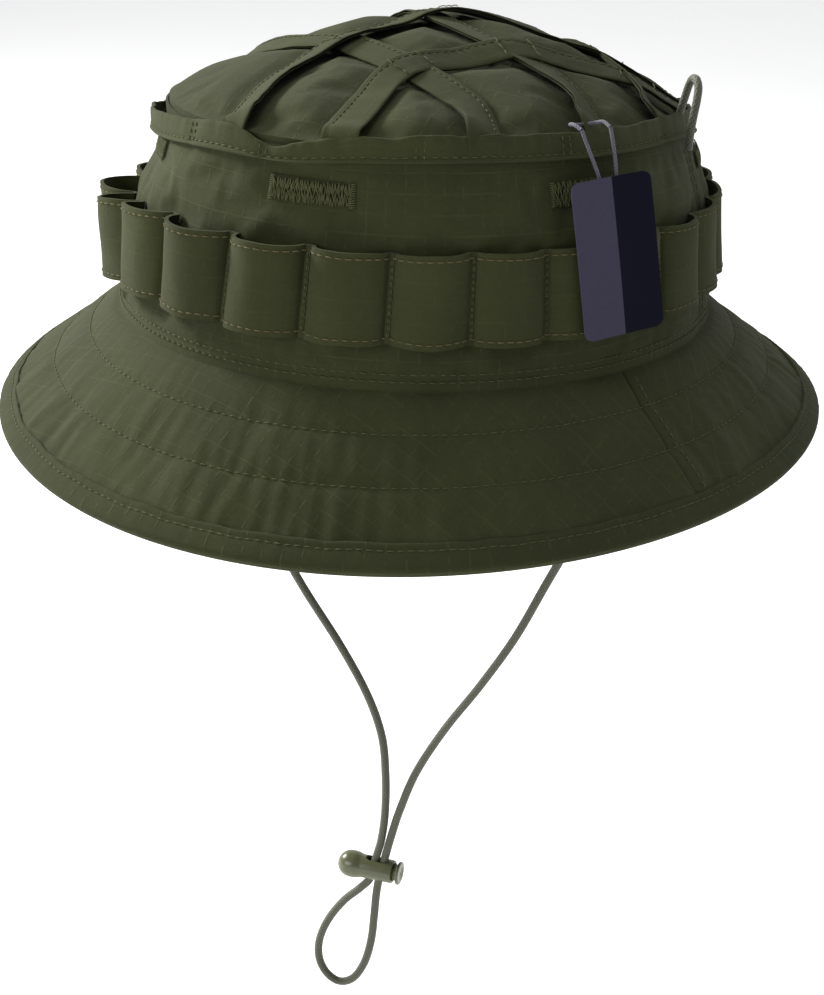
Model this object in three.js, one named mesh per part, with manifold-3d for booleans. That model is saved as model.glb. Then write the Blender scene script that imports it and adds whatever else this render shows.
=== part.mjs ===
// Boonie hat with a strapped crown, foliage loops, chin cord and cord lock.
// Millimetres, +Z up. The origin is the centre of the head opening, in the plane where
// crown and brim are sewn together. The wearer looks along -Y; the wearer's left is +X.
// Angles around the crown are in degrees from +X (wearer's left) towards +Y (back).

import * as THREE from 'three';
import { mergeVertices } from 'three/addons/utils/BufferGeometryUtils.js';
import Module from 'manifold-3d';

const wasm = await Module();
wasm.setup();

// ---------------------------------------------------------------- driving dimensions
const SEAM_A = 90;            // half-width of the crown at the brim seam
const SEAM_B = 100;           // half-length of the crown at the brim seam
const TAPER_A = 8.0;          // how much narrower the crown is at EDGE_Z, half-width
const TAPER_B = 4.6;          // and half-length
const LEAN = 7.6;             // how far the crown's centre leans back at EDGE_Z
const EDGE_Z = 60;            // top edge of the side wall
const SHOULDER_IN = 4.2;      // further narrowing above the foliage loops, half-width
const SAG = 9;                // how far the soft crown sinks towards the back
const CLOTH = 0.9;            // one ply of hat cloth with its lining
const GAP = 0.35;             // clearance between neighbouring pieces

const TIP_SKIRT_Z = 60.6;     // lower edge of the tip, behind the top band
const TIP_SHOULDER_Z = 64.5;  // where the tip turns over
const TIP_APEX_Z = 83.4;      // highest point of the tip
const TIP_APEX = [2, 23];     // where that is, in plan
const TIP_POWER = 1.46;       // roundness of the dome

const BRIM_WIDTH = 36.1;      // horizontal width of the brim
const BRIM_EDGE = 0.975;      // where the plies end, as a fraction of BRIM_WIDTH
const PLY = 0.7;              // brim cloth
const STIFFENER = 0.5;        // interlining between the brim plies
const BRIM_SEAM = -30.5;      // angle of the brim's front seam; the other is opposite
const BINDING_FROM = 0.86;    // inner edge of the binding, as a fraction of BRIM_WIDTH
const BINDING_TO = 1.02;
const BINDING_TAPE = 0.8;

const BAND_Z0 = 58.4;         // top band: a hemmed strip standing round the crown's edge
const BAND_Z1 = 65.9;
const BAND_TAPE = 1.0;

const SWEAT_Z0 = -1;
const SWEAT_Z1 = 30;

const LOOPS = 24;             // foliage loops round the crown
const LOOP_Z0 = 12.4;
const LOOP_Z1 = 36.6;
const LOOP_TAPE = 1.0;
const LOOP_CLOSE = 3.7;       // how far a closed loop stands out at its middle
const LOOP_OPEN = 8.7;        // and the widest one
const LOOP_GAPE_AT = -155;    // direction of the widest loops

const STRAP_WIDTH = 10.5;
const STRAP_TAPE = 1.0;
const LOWER_LIFT = 0.9;       // straps of the lower layer above the tip
const UPPER_LIFT = 2.8;       // straps of the upper layer cross over the lower ones

const TAB_X = 84.1;           // where the chin cord's tabs hang, either side
const TAB_Y = -4;
const TAB_Z0 = -1.15;         // high enough for the cord's end to swing below it
const TAB_Z1 = 8;
const CORD = 2.8;             // chin cord diameter
const HANG_CORD = 2.4;        // hanging loop diameter
const STRING = 1.0;           // hang tag string diameter

const LOCK_Z = -202.6;        // axis height of the cord lock's barrel
const LOCK_Y = -9;
const LOCK_LEFT = -17.2;      // domed end
const LOCK_MOUTH = 2.9;       // open end of the barrel
const LOCK_R = 4;             // barrel radius
const DOME_R = 4.65;          // radius of the domed end
const BORE_R = 3.15;
const BORE_END = -14;         // closed end of the bore
const PISTON_R = 2.8;
const PISTON_END = -9;
const PRESS = 1.5;            // plunger travel
const FLANGE = 1.0;           // thickness of the plunger's button
const SLOT_X0 = -7.1;         // cord hole through the barrel
const SLOT_X1 = 1.1;
const SLOT_WIDTH = 3.4;

const TAG_WIDTH = 28;
const TAG_HEIGHT = 43;
const TAG_CARD = 0.6;
const TAG_ANGLE = -36;        // direction the card faces
const TAG_LEAN = 11;          // its foot stands out from plumb, degrees
const TAG_ROLL = 3;           // and swings a little to the wearer's left

// ---------------------------------------------------------------- colours
const OLIVE = 0x4b5236;
const OLIVE_DARK = 0x3a4029;
const OLIVE_TRIM = 0x515839;
const CORD_GREEN = 0x5d6249;
const LOCK_GREEN = 0x4f5735;

const hat = new THREE.Group();

function cloth(color) {
  return new THREE.MeshStandardMaterial({ color, roughness: 0.9, metalness: 0 });
}

function plastic(color) {
  return new THREE.MeshStandardMaterial({ color, roughness: 0.35, metalness: 0 });
}

function addPiece(parent, name, geometry, material) {
  const mesh = new THREE.Mesh(geometry, material);
  mesh.name = name;
  parent.add(mesh);
  return mesh;
}

// ---------------------------------------------------------------- geometry helpers
const radians = THREE.MathUtils.degToRad;

function signedVolume(position, index) {
  const [a, b, c] = [new THREE.Vector3(), new THREE.Vector3(), new THREE.Vector3()];
  let volume = 0;
  for (let i = 0; i < index.length; i += 3) {
    a.fromArray(position, 3 * index[i]);
    b.fromArray(position, 3 * index[i + 1]);
    c.fromArray(position, 3 * index[i + 2]);
    volume += a.dot(b.cross(c)) / 6;
  }
  return volume;
}

// A closed body through a row of sections, each a list of the same number of points that
// goes out along one face and back along the other. A ring joins its last section to its
// first; otherwise both ends are capped, straight across from face to face.
function loft(sections, ring = false) {
  const perSection = sections[0].length;
  const position = sections.flat().flatMap((p) => [p.x, p.y, p.z]);
  const index = [];
  const spans = ring ? sections.length : sections.length - 1;
  for (let i = 0; i < spans; i++) {
    const here = i * perSection;
    const next = ((i + 1) % sections.length) * perSection;
    for (let j = 0; j < perSection; j++) {
      const k = (j + 1) % perSection;
      index.push(here + j, next + j, next + k, here + j, next + k, here + k);
    }
  }
  if (!ring) {
    const last = (sections.length - 1) * perSection;
    for (let j = 0; j < perSection / 2 - 1; j++) {
      const [a, b, c, d] = [j, j + 1, perSection - 2 - j, perSection - 1 - j];
      index.push(a, b, c, a, c, d, last + a, last + c, last + b, last + a, last + d, last + c);
    }
  }
  if (signedVolume(position, index) < 0) index.reverse();
  const geometry = new THREE.BufferGeometry();
  geometry.setAttribute('position', new THREE.Float32BufferAttribute(position, 3));
  geometry.setIndex(index);
  geometry.computeVertexNormals();
  return geometry;
}

function angles(from, to, steps) {
  return Array.from({ length: steps + 1 }, (_, i) => from + ((to - from) * i) / steps);
}

function circleShape(radius, sides) {
  const corners = angles(0, 360, sides).slice(0, sides).map(radians);
  return new THREE.Shape(
    corners.map((t) => new THREE.Vector2(radius * Math.cos(t), radius * Math.sin(t))),
  );
}

// A round cord along a smooth curve through the given points.
function cordAlong(points, diameter, steps, sides = 8) {
  const path = new THREE.CatmullRomCurve3(points.map((p) => new THREE.Vector3(...p)));
  return new THREE.ExtrudeGeometry(circleShape(diameter / 2, sides), {
    steps,
    extrudePath: path,
    bevelEnabled: false,
  });
}

function toManifold(geometry) {
  const bare = geometry.clone();
  bare.deleteAttribute('normal');
  bare.deleteAttribute('uv');
  const merged = mergeVertices(bare, 1e-4);
  return new wasm.Manifold(new wasm.Mesh({
    numProp: 3,
    vertProperties: new Float32Array(merged.attributes.position.array),
    triVerts: new Uint32Array(merged.index.array),
  }));
}

function fromManifold(solid) {
  const mesh = solid.getMesh();
  const geometry = new THREE.BufferGeometry();
  geometry.setAttribute('position', new THREE.BufferAttribute(mesh.vertProperties, 3));
  geometry.setIndex(new THREE.BufferAttribute(mesh.triVerts, 1));
  geometry.computeVertexNormals();
  return geometry;
}

function cut(geometry, ...tools) {
  const solid = tools.reduce((body, tool) => body.subtract(toManifold(tool)), toManifold(geometry));
  return fromManifold(solid);
}

function block(x0, x1, y0, y1, z0, z1) {
  const box = new THREE.BoxGeometry(x1 - x0, y1 - y0, z1 - z0);
  return box.translate((x0 + x1) / 2, (y0 + y1) / 2, (z0 + z1) / 2);
}

// ---------------------------------------------------------------- the crown's surfaces
// How far up a height is between the foliage loops (0) and the crown's edge (1).
function upperShare(z) {
  return Math.max(0, (z - LOOP_Z1) / (EDGE_Z - LOOP_Z1));
}

// The crown is an ellipse at every height; it narrows and leans back as it rises.
function crownEllipse(z) {
  const t = z / EDGE_Z;
  return { a: SEAM_A - TAPER_A * t - SHOULDER_IN * upperShare(z), b: SEAM_B - TAPER_B * t, y: LEAN * t };
}

// How far the cloth at this height has sunk, which is more towards the back.
function sag(y, z) {
  return SAG * Math.min(1, upperShare(z)) * THREE.MathUtils.smoothstep(y, -60, 90);
}

// A point on the crown's side wall, moved out by `out` square to the wall in plan.
function wallPoint(degrees, z, out) {
  const t = radians(degrees);
  const { a, b, y: middle } = crownEllipse(z);
  const normal = new THREE.Vector2(Math.cos(t) / a, Math.sin(t) / b).normalize();
  const y = b * Math.sin(t) + out * normal.y + middle;
  return new THREE.Vector3(a * Math.cos(t) + out * normal.x, y, z - sag(y, z));
}

// How far a point in plan lies from the tip's apex (0) to its rim (1).
function tipShare(x, y) {
  const rim = crownEllipse(TIP_SHOULDER_Z);
  const apex = new THREE.Vector2(TIP_APEX[0] / rim.a, (TIP_APEX[1] - rim.y) / rim.b);
  const way = new THREE.Vector2((x - TIP_APEX[0]) / rim.a, (y - TIP_APEX[1]) / rim.b);
  const size = Math.max(way.lengthSq(), 1e-9);
  const along = apex.dot(way);
  const reach = (Math.sqrt(along ** 2 + size * (1 - apex.lengthSq())) - along) / size;
  return Math.min(1, 1 / reach);
}

// Height of the tip's cloth above a point in plan.
function tipHeight(x, y) {
  const r = tipShare(x, y);
  const rimY = TIP_APEX[1] + (y - TIP_APEX[1]) / Math.max(r, 0.01);
  const dome = (TIP_APEX_Z - TIP_SHOULDER_Z) * (1 - r ** TIP_POWER);
  return TIP_SHOULDER_Z + dome - sag(rimY, TIP_SHOULDER_Z) * r;
}

// A point on the brim's upper face: `t` runs from the seam (0) to the edge (1), and
// `down` moves it below that face, square to the slope.
function brimPoint(degrees, t, down) {
  const angle = radians(degrees);
  const drop = 30.2 - 1.8 * Math.cos(2 * angle) - 5.5 * Math.sin(angle);
  const slope = Math.atan2(drop, BRIM_WIDTH);
  const inset = down * Math.sin(slope);
  return new THREE.Vector3(
    (SEAM_A + BRIM_WIDTH * t - inset) * Math.cos(angle),
    (SEAM_B + BRIM_WIDTH * t - inset) * Math.sin(angle),
    -drop * t - down * Math.cos(slope),
  );
}

// ---------------------------------------------------------------- crown
function wallStrip(from, to, steps, levels, outer, inner) {
  return angles(from, to, steps).map((angle) => [
    ...levels.map((z) => wallPoint(angle, z, outer)),
    ...levels.toReversed().map((z) => wallPoint(angle, z, inner)),
  ]);
}

function wallRing(steps, levels, outer, inner) {
  return loft(wallStrip(0, 360, steps, levels, outer, inner).slice(0, steps), true);
}

function makeCrown() {
  const seam = 0.2;                  // half of the slit between the two panels, degrees
  const panels = { crown_side_front: [-180, 0], crown_side_back: [0, 180] };
  for (const [name, [from, to]] of Object.entries(panels)) {
    const strip = wallStrip(from + seam, to - seam, 30, [0.6, LOOP_Z1, 48, EDGE_Z], 0, -CLOTH);
    addPiece(hat, name, loft(strip), cloth(OLIVE));
  }
  addPiece(hat, 'crown_tip', makeTip(), cloth(OLIVE));
  const band = wallRing(60, [BAND_Z0, BAND_Z1], GAP + BAND_TAPE, GAP);
  addPiece(hat, 'top_band', band, cloth(OLIVE_TRIM));
}

// The tip is turned from a profile of the dome and its short skirt, 1 mm in radius, and
// then spread from its apex to the crown's edge.
function makeTip() {
  const inside = 1 - CLOTH / SEAM_A;
  const dome = [0, 0.1, 0.22, 0.36, 0.5, 0.64, 0.78, 0.9];
  const rise = (r) => (TIP_APEX_Z - TIP_SHOULDER_Z) * (1 - r ** TIP_POWER);
  const outer = dome.map((r) => new THREE.Vector2(r, TIP_SHOULDER_Z + rise(r)));
  const inner = dome.map((r) => new THREE.Vector2(r * inside, TIP_SHOULDER_Z - CLOTH + rise(r)));
  const profile = [
    ...inner,
    new THREE.Vector2(inside, TIP_SHOULDER_Z - CLOTH),
    new THREE.Vector2(inside, TIP_SKIRT_Z),
    new THREE.Vector2(1, TIP_SKIRT_Z),
    new THREE.Vector2(1, TIP_SHOULDER_Z - CLOTH),
    ...outer.reverse(),
  ];
  const tip = new THREE.LatheGeometry(profile, 36);
  tip.rotateX(Math.PI / 2);          // the lathe turns about Y; the hat stands on Z
  spreadTip(tip.attributes.position);
  tip.computeVertexNormals();
  return tip;
}

function spreadTip(position) {
  const { a, b, y: middle } = crownEllipse(TIP_SHOULDER_Z);
  const [apexX, apexY] = TIP_APEX;
  for (let i = 0; i < position.count; i++) {
    const [x, y, z] = [position.getX(i), position.getY(i), position.getZ(i)];
    const r = Math.hypot(x, y);
    const rimY = middle + (b * y) / Math.max(r, 1e-6);
    position.setXYZ(
      i,
      apexX * (1 - r) + a * x,
      apexY * (1 - r) + middle * r + b * y,
      z - sag(rimY, TIP_SHOULDER_Z) * r,
    );
  }
}

function makeSweatband() {
  const outer = -CLOTH - GAP;
  const band = wallRing(60, [SWEAT_Z0, SWEAT_Z1], outer, outer - CLOTH);
  addPiece(hat, 'sweatband', band, cloth(OLIVE_DARK));
  const face = outer - CLOTH - GAP;
  const label = loft(wallStrip(81, 99, 6, [6, 24], face, face - 0.5));
  addPiece(hat, 'care_label', label, cloth(0xd8d4c4));
}

// ---------------------------------------------------------------- straps over the tip
// Each strap is a flat tape over the dome through a few points in plan. Upper straps run
// from front to back, lower straps run under them from the left rear to the right front.
const STRAPS = {
  strap_upper_outer: {
    lift: UPPER_LIFT,
    plan: [[-27, -78], [-28, -66], [-28, -52], [-25, -36], [-18, -18], [-8, 2], [8, 22], [30, 33],
      [52, 34], [70, 31]],
  },
  strap_upper_inner: {
    lift: UPPER_LIFT,
    plan: [[5, -82], [5, -66], [5, -52], [8, -42], [15, -31], [27, -15], [39, -3], [50, 7], [61, 13],
      [72, 14]],
  },
  strap_lower_front: {
    lift: LOWER_LIFT,
    plan: [[-71, 27], [-54, 2], [-37, -12], [-23, -18], [-7, -29], [7, -39], [23, -50], [33, -58],
      [37, -65]],
  },
  strap_lower_middle: {
    lift: LOWER_LIFT,
    plan: [[-50, 70], [-28, 44], [-8, 18], [3, 6], [18, -4], [33, -12], [43, -17], [52, -24], [58, -33],
      [61, -41]],
  },
  strap_lower_rear: {
    lift: LOWER_LIFT,
    plan: [[8, 97], [24, 72], [38, 48], [50, 30], [60, 15], [67, 3], [71, -7]],
  },
};

function makeStrap(plan, lift) {
  const route = new THREE.CatmullRomCurve3(plan.map(([x, y]) => new THREE.Vector3(x, y, 0)));
  const steps = 22;
  const sections = angles(0, 1, steps).map((u) => {
    const p = route.getPointAt(u);
    const along = route.getTangentAt(u);
    const side = new THREE.Vector3(-along.y, along.x, 0).multiplyScalar(STRAP_WIDTH / 2);
    const top = tipHeight(p.x, p.y) + lift + STRAP_TAPE;
    const left = p.clone().add(side);
    const right = p.clone().sub(side);
    const tilt = (q) => (tipHeight(q.x, q.y) + lift + STRAP_TAPE - top) * 0.8;
    return [
      new THREE.Vector3(left.x, left.y, top + tilt(left)),
      new THREE.Vector3(right.x, right.y, top + tilt(right)),
      new THREE.Vector3(right.x, right.y, top + tilt(right) - STRAP_TAPE),
      new THREE.Vector3(left.x, left.y, top + tilt(left) - STRAP_TAPE),
    ];
  });
  return loft(sections);
}

function makeStraps() {
  for (const [name, { plan, lift }] of Object.entries(STRAPS)) {
    addPiece(hat, name, makeStrap(plan, lift), cloth(OLIVE_TRIM));
  }
}

// ---------------------------------------------------------------- brim
function brimStrip(from, to, steps, t0, t1, down0, down1) {
  return angles(from, to, steps).map((angle) => [
    brimPoint(angle, t0, down0),
    brimPoint(angle, t1, down0),
    brimPoint(angle, t1, down1),
    brimPoint(angle, t0, down1),
  ]);
}

function makeBrim() {
  const seam = 0.2;
  const halves = {
    front_right: [BRIM_SEAM - 180 + seam, BRIM_SEAM - seam],
    back_left: [BRIM_SEAM + seam, BRIM_SEAM + 180 - seam],
  };
  const stiffTop = PLY + GAP;
  const underTop = stiffTop + STIFFENER + GAP;
  const underEnd = underTop + PLY;
  for (const [half, [from, to]] of Object.entries(halves)) {
    const upper = brimStrip(from, to, 30, 0, BRIM_EDGE, 0, PLY);
    const lower = brimStrip(from, to, 30, 0.06, BRIM_EDGE, underTop, underEnd);
    addPiece(hat, `brim_upper_${half}`, loft(upper), cloth(OLIVE));
    addPiece(hat, `brim_lower_${half}`, loft(lower), cloth(OLIVE_DARK));
  }
  const stiff = brimStrip(0, 360, 60, 0.05, BRIM_EDGE - 0.01, stiffTop, stiffTop + STIFFENER);
  addPiece(hat, 'brim_interlining', loft(stiff.slice(0, 60), true), cloth(0x8a8a78));
  addPiece(hat, 'brim_binding', makeBinding(underEnd), cloth(OLIVE_TRIM));
}

// The binding is a tape folded over the brim's edge, so its section is a C.
function makeBinding(brimThickness) {
  const insideTop = -GAP;
  const insideEnd = brimThickness + GAP;
  const foldAt = BINDING_TO - BINDING_TAPE / BRIM_WIDTH;
  const sections = angles(0, 360, 60).slice(0, 60).map((angle) => [
    brimPoint(angle, BINDING_FROM, insideTop - BINDING_TAPE),
    brimPoint(angle, BINDING_TO, insideTop - BINDING_TAPE),
    brimPoint(angle, BINDING_TO, insideEnd + BINDING_TAPE),
    brimPoint(angle, BINDING_FROM, insideEnd + BINDING_TAPE),
    brimPoint(angle, BINDING_FROM, insideEnd),
    brimPoint(angle, foldAt, insideEnd),
    brimPoint(angle, foldAt, insideTop),
    brimPoint(angle, BINDING_FROM, insideTop),
  ]);
  return loft(sections, true);
}

// ---------------------------------------------------------------- foliage loops
// The strip is sewn to the crown at these angles; they sit a little wider at the front.
function loopStitch(k) {
  const even = -90 + (360 / LOOPS) * k;
  return even - 3.5 * (1 - Math.cos(radians(2 * (even + 82.5))));
}

// How far a loop stands out: it gapes at the wearer's right and lies close elsewhere.
function loopBulge(degrees) {
  const gape = Math.max(0, Math.cos(radians(degrees - LOOP_GAPE_AT)));
  return LOOP_CLOSE + (LOOP_OPEN - LOOP_CLOSE) * gape ** 2;
}

function makeLoop(from, to) {
  const flange = 0.05;               // share of the loop that lies flat at each stitch
  const slit = 0.25;                 // half of the slit to the next loop, mm
  const height = loopBulge((from + to) / 2);
  const base = GAP + LOOP_TAPE / 2;
  const span = radians(to - from) * SEAM_B;
  const inPlan = (s, z) => {
    const rise = s <= flange || s >= 1 - flange
      ? 0
      : Math.sin((Math.PI * (s - flange)) / (1 - 2 * flange)) ** 0.8;
    return wallPoint(from + (to - from) * s, z, base + height * rise);
  };
  const stops = [slit / span, 0.05, 0.1, 0.18, 0.3, 0.42, 0.5, 0.58, 0.7, 0.82, 0.9, 0.95,
    1 - slit / span];
  const sections = stops.map((s) => {
    const section = [];
    for (const [z, sides] of [[LOOP_Z0, [1, -1]], [LOOP_Z1, [-1, 1]]]) {
      const along = inPlan(Math.min(1, s + 0.01), z).sub(inPlan(Math.max(0, s - 0.01), z));
      const out = new THREE.Vector3(along.y, -along.x, 0).setLength(LOOP_TAPE / 2);
      for (const side of sides) section.push(inPlan(s, z).addScaledVector(out, side));
    }
    return section;
  });
  return loft(sections);
}

function makeLoops() {
  for (let k = 0; k < LOOPS; k++) {
    const name = `foliage_loop_${String(k + 1).padStart(2, '0')}`;
    addPiece(hat, name, makeLoop(loopStitch(k), loopStitch(k + 1)), cloth(OLIVE));
  }
}

// ---------------------------------------------------------------- cords
// One chin cord: down from the wearer's left tab, through the lock, round the end loop,
// back through the lock and up to the wearer's right tab.
const CHIN_CORD = [
  [84.1, -4, -2.6], [83.3, -4, -8], [78.1, -4.4, -24], [69.5, -5, -44], [59.5, -5.6, -65],
  [49.5, -6.2, -87], [40.2, -6.8, -108], [29.6, -7.3, -127], [18.4, -7.8, -145],
  [9.4, -8.3, -162.5], [4.2, -8.7, -178], [1.25, -9, -190], [-0.6, -9, -198.6],
  [-2.3, -9, -206.6], [-3.1, -9, -213], [-3.6, -9, -222], [-4.4, -9, -232],
  [-6.6, -9, -241.5], [-10.6, -9, -248.8], [-15.8, -9, -251.4], [-20.8, -9, -248.8],
  [-23.6, -9, -243], [-23.4, -9, -235.4], [-20.2, -9, -226.6], [-14.8, -9, -218],
  [-9, -9, -211.6], [-5.4, -9, -206.6], [-3.7, -9, -198.6], [-1.85, -9, -190],
  [-1.1, -8.7, -179], [-1.6, -8.3, -166], [-3.6, -7.9, -152], [-9.4, -7.4, -138],
  [-19.6, -6.9, -122], [-34.5, -6.4, -102], [-49.2, -5.8, -79], [-62.6, -5.2, -55],
  [-73.8, -4.6, -32], [-81.4, -4.2, -14], [-84.1, -4, -2.6],
];

const HANG_LOOP = [
  [81.9, -3, 54], [82.1, -3, 59], [82.6, -3, 64], [83.1, -2.7, 68.4], [83, -1.5, 71.8],
  [82, 0.2, 73.7], [80.5, 2.2, 73.7], [79.1, 4.2, 71.3], [78, 5.8, 67.6], [76.9, 6.9, 63.4],
];

function makeCords() {
  const green = cloth(CORD_GREEN);
  addPiece(hat, 'chin_cord', cordAlong(CHIN_CORD, CORD, 78), green);
  addPiece(hat, 'hang_loop', cordAlong(HANG_LOOP, HANG_CORD, 20), green.clone());
  for (const [name, side] of [['cord_tab_left', 1], ['cord_tab_right', -1]]) {
    const tab = block(-1.7, 1.7, -5, 5, TAB_Z0, TAB_Z1);
    addPiece(hat, name, tab, cloth(OLIVE_DARK)).position.set(side * TAB_X, TAB_Y, 0);
  }
}

// ---------------------------------------------------------------- cord lock
// Turned about X from a profile of [x, radius] pairs that starts and ends on the axis.
function turned(profile, segments = 24) {
  const points = profile.map(([x, r]) => new THREE.Vector2(r, x));
  const body = new THREE.LatheGeometry(points, segments);
  body.rotateZ(-Math.PI / 2);        // the lathe's Y becomes +X
  return body.translate(0, LOCK_Y, LOCK_Z);
}

function cordSlot(x0, x1) {
  const half = SLOT_WIDTH / 2;
  return block(x0, x1, LOCK_Y - half, LOCK_Y + half, LOCK_Z - 10, LOCK_Z + 10);
}

function makeLock() {
  const dome = angles(0, 90, 6).map((a) => {
    const t = radians(a);
    return [LOCK_LEFT + DOME_R * (1 - Math.cos(t)), DOME_R * Math.sin(t)];
  });
  const barrel = turned([
    ...dome,
    [-10.4, DOME_R],
    [-8.2, LOCK_R],
    [LOCK_MOUTH, LOCK_R],
    [LOCK_MOUTH, BORE_R],
    [BORE_END, BORE_R],
    [BORE_END, 0],
  ]);
  addPiece(hat, 'lock_body', cut(barrel, cordSlot(SLOT_X0, SLOT_X1)), plastic(LOCK_GREEN));

  const flangeFrom = LOCK_MOUTH + PRESS + 0.1;
  const plunger = turned([
    [PISTON_END, 0],
    [PISTON_END, PISTON_R],
    [flangeFrom, PISTON_R],
    [flangeFrom, LOCK_R],
    [flangeFrom + FLANGE * 0.7, LOCK_R],
    [flangeFrom + FLANGE, LOCK_R - 0.4],
    [flangeFrom + FLANGE, 0],
  ]);
  const slot = cordSlot(SLOT_X0, SLOT_X1 + PRESS);
  addPiece(hat, 'lock_plunger', cut(plunger, slot), plastic(LOCK_GREEN));
  addPiece(hat, 'lock_spring', makeSpring(), plastic(0xb0b0aa));
}

// The spring fills the bore behind the plunger, which compresses it when pressed.
function makeSpring() {
  const wire = 0.6;
  const radius = 2.1;
  const turns = 4;
  const from = BORE_END + GAP + wire / 2;
  const to = PISTON_END - GAP - wire / 2;
  const points = angles(0, 1, turns * 8).map((u) => {
    const t = u * turns * 2 * Math.PI;
    return [from + (to - from) * u, LOCK_Y + radius * Math.cos(t), LOCK_Z + radius * Math.sin(t)];
  });
  return cordAlong(points, wire, turns * 10, 5);
}

// ---------------------------------------------------------------- hang tag
// The card hangs by a string looped round a strap's end and leans on the foliage loops.
const TAG_TOP = [70.7, -54.2, 54.8];  // middle of the card's upper edge, back face

// Down one side, across the card's back, where it is glued, and up the other side.
const TAG_STRING = [
  [-6.5, 4.9, 12.2], [-5.6, 3.4, 8.5], [-4.1, 2, 4], [-3, 0.95, 0.5], [-2.2, 0.3, -2.4],
  [-0.6, -0.05, -4.4], [1.2, -0.05, -4.4], [2.7, 0.3, -2.4], [3.3, 0.95, 0.5], [3.5, 2, 4],
  [3.5, 3.4, 8.5], [3.5, 4.9, 12.2],
];

// The rest of the string stays on the hat: over the top band and round behind it.
const TAG_TIE = [
  [-6.6, 5.8, 12.6], [-6.7, 8.2, 13.2], [-5.6, 11, 13], [-2.6, 12.5, 12.8], [0.6, 12.2, 12.8],
  [2.9, 10.4, 13], [3.6, 8, 13.2], [3.6, 5.8, 12.6],
];

function cardOutline() {
  const corner = 2.5;
  const [x0, x1, y0, y1] = [-TAG_WIDTH / 2, TAG_WIDTH / 2, -TAG_HEIGHT, 0];
  const outline = new THREE.Shape();
  outline.moveTo(x0 + corner, y0);
  outline.absarc(x1 - corner, y0 + corner, corner, -Math.PI / 2, 0);
  outline.absarc(x1 - corner, y1 - corner, corner, 0, Math.PI / 2);
  outline.absarc(x0 + corner, y1 - corner, corner, Math.PI / 2, Math.PI);
  outline.absarc(x0 + corner, y0 + corner, corner, Math.PI, 1.5 * Math.PI);
  return outline;
}

function makeTag() {
  const tag = new THREE.Group();
  tag.position.set(...TAG_TOP);
  tag.rotation.set(0, 0, radians(TAG_ANGLE + 90));
  hat.add(tag);
  const card = new THREE.ExtrudeGeometry(cardOutline(), {
    depth: TAG_CARD,
    bevelEnabled: false,
    curveSegments: 5,
  });
  card.rotateZ(radians(TAG_ROLL));
  card.rotateX(Math.PI / 2);          // stands up, front face towards the group's -Y
  card.rotateX(radians(-TAG_LEAN));
  addPiece(tag, 'tag_card', card, new THREE.MeshStandardMaterial({ color: 0x1d2136, roughness: 0.5 }));
  addPiece(tag, 'tag_string', cordAlong(TAG_STRING, STRING, 22, 6), cloth(0x8d879b));
  addPiece(tag, 'tag_tie', cordAlong(TAG_TIE, STRING, 16, 6), cloth(0x8d879b));
}

makeCrown();
makeSweatband();
makeStraps();
makeBrim();
makeLoops();
makeCords();
makeLock();
makeTag();

export default hat;
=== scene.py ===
import math

import bmesh
import bpy
import numpy as np
from mathutils import Matrix, Vector, noise


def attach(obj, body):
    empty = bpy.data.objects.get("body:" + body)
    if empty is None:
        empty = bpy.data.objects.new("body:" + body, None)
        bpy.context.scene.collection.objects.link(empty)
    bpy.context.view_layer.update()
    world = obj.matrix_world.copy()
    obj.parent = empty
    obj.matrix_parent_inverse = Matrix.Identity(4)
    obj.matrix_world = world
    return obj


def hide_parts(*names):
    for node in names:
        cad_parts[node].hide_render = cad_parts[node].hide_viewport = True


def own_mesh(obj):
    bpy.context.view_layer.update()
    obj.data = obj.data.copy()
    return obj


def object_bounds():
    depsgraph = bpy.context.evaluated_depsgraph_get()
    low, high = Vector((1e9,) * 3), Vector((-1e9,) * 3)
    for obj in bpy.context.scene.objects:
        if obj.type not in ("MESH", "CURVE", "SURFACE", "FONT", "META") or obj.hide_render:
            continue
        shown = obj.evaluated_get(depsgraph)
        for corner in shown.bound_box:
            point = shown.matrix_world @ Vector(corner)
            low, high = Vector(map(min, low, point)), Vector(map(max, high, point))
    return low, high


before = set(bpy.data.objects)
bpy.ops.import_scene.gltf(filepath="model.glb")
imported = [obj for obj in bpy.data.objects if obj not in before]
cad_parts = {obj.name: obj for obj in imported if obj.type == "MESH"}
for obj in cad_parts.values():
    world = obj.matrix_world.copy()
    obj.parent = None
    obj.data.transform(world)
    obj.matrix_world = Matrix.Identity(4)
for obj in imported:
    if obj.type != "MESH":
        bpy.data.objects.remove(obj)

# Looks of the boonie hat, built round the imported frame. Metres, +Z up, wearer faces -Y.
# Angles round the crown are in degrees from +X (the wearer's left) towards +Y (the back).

MM = 0.001
cad_low, cad_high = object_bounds()

# ------------------------------------------------------------------ camera
CAMERA = {"azimuth": 17.95, "elevation": 21.06, "roll": 2.35, "distance": 647 * MM}
CAMERA_LENS = 74.97           # millimetres on a 36 mm long side
AIM_RIGHT = 1.6 * MM          # the hat's centre lies this far right of the optical axis
AIM_UP = 63.8 * MM            # and this far above it


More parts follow.
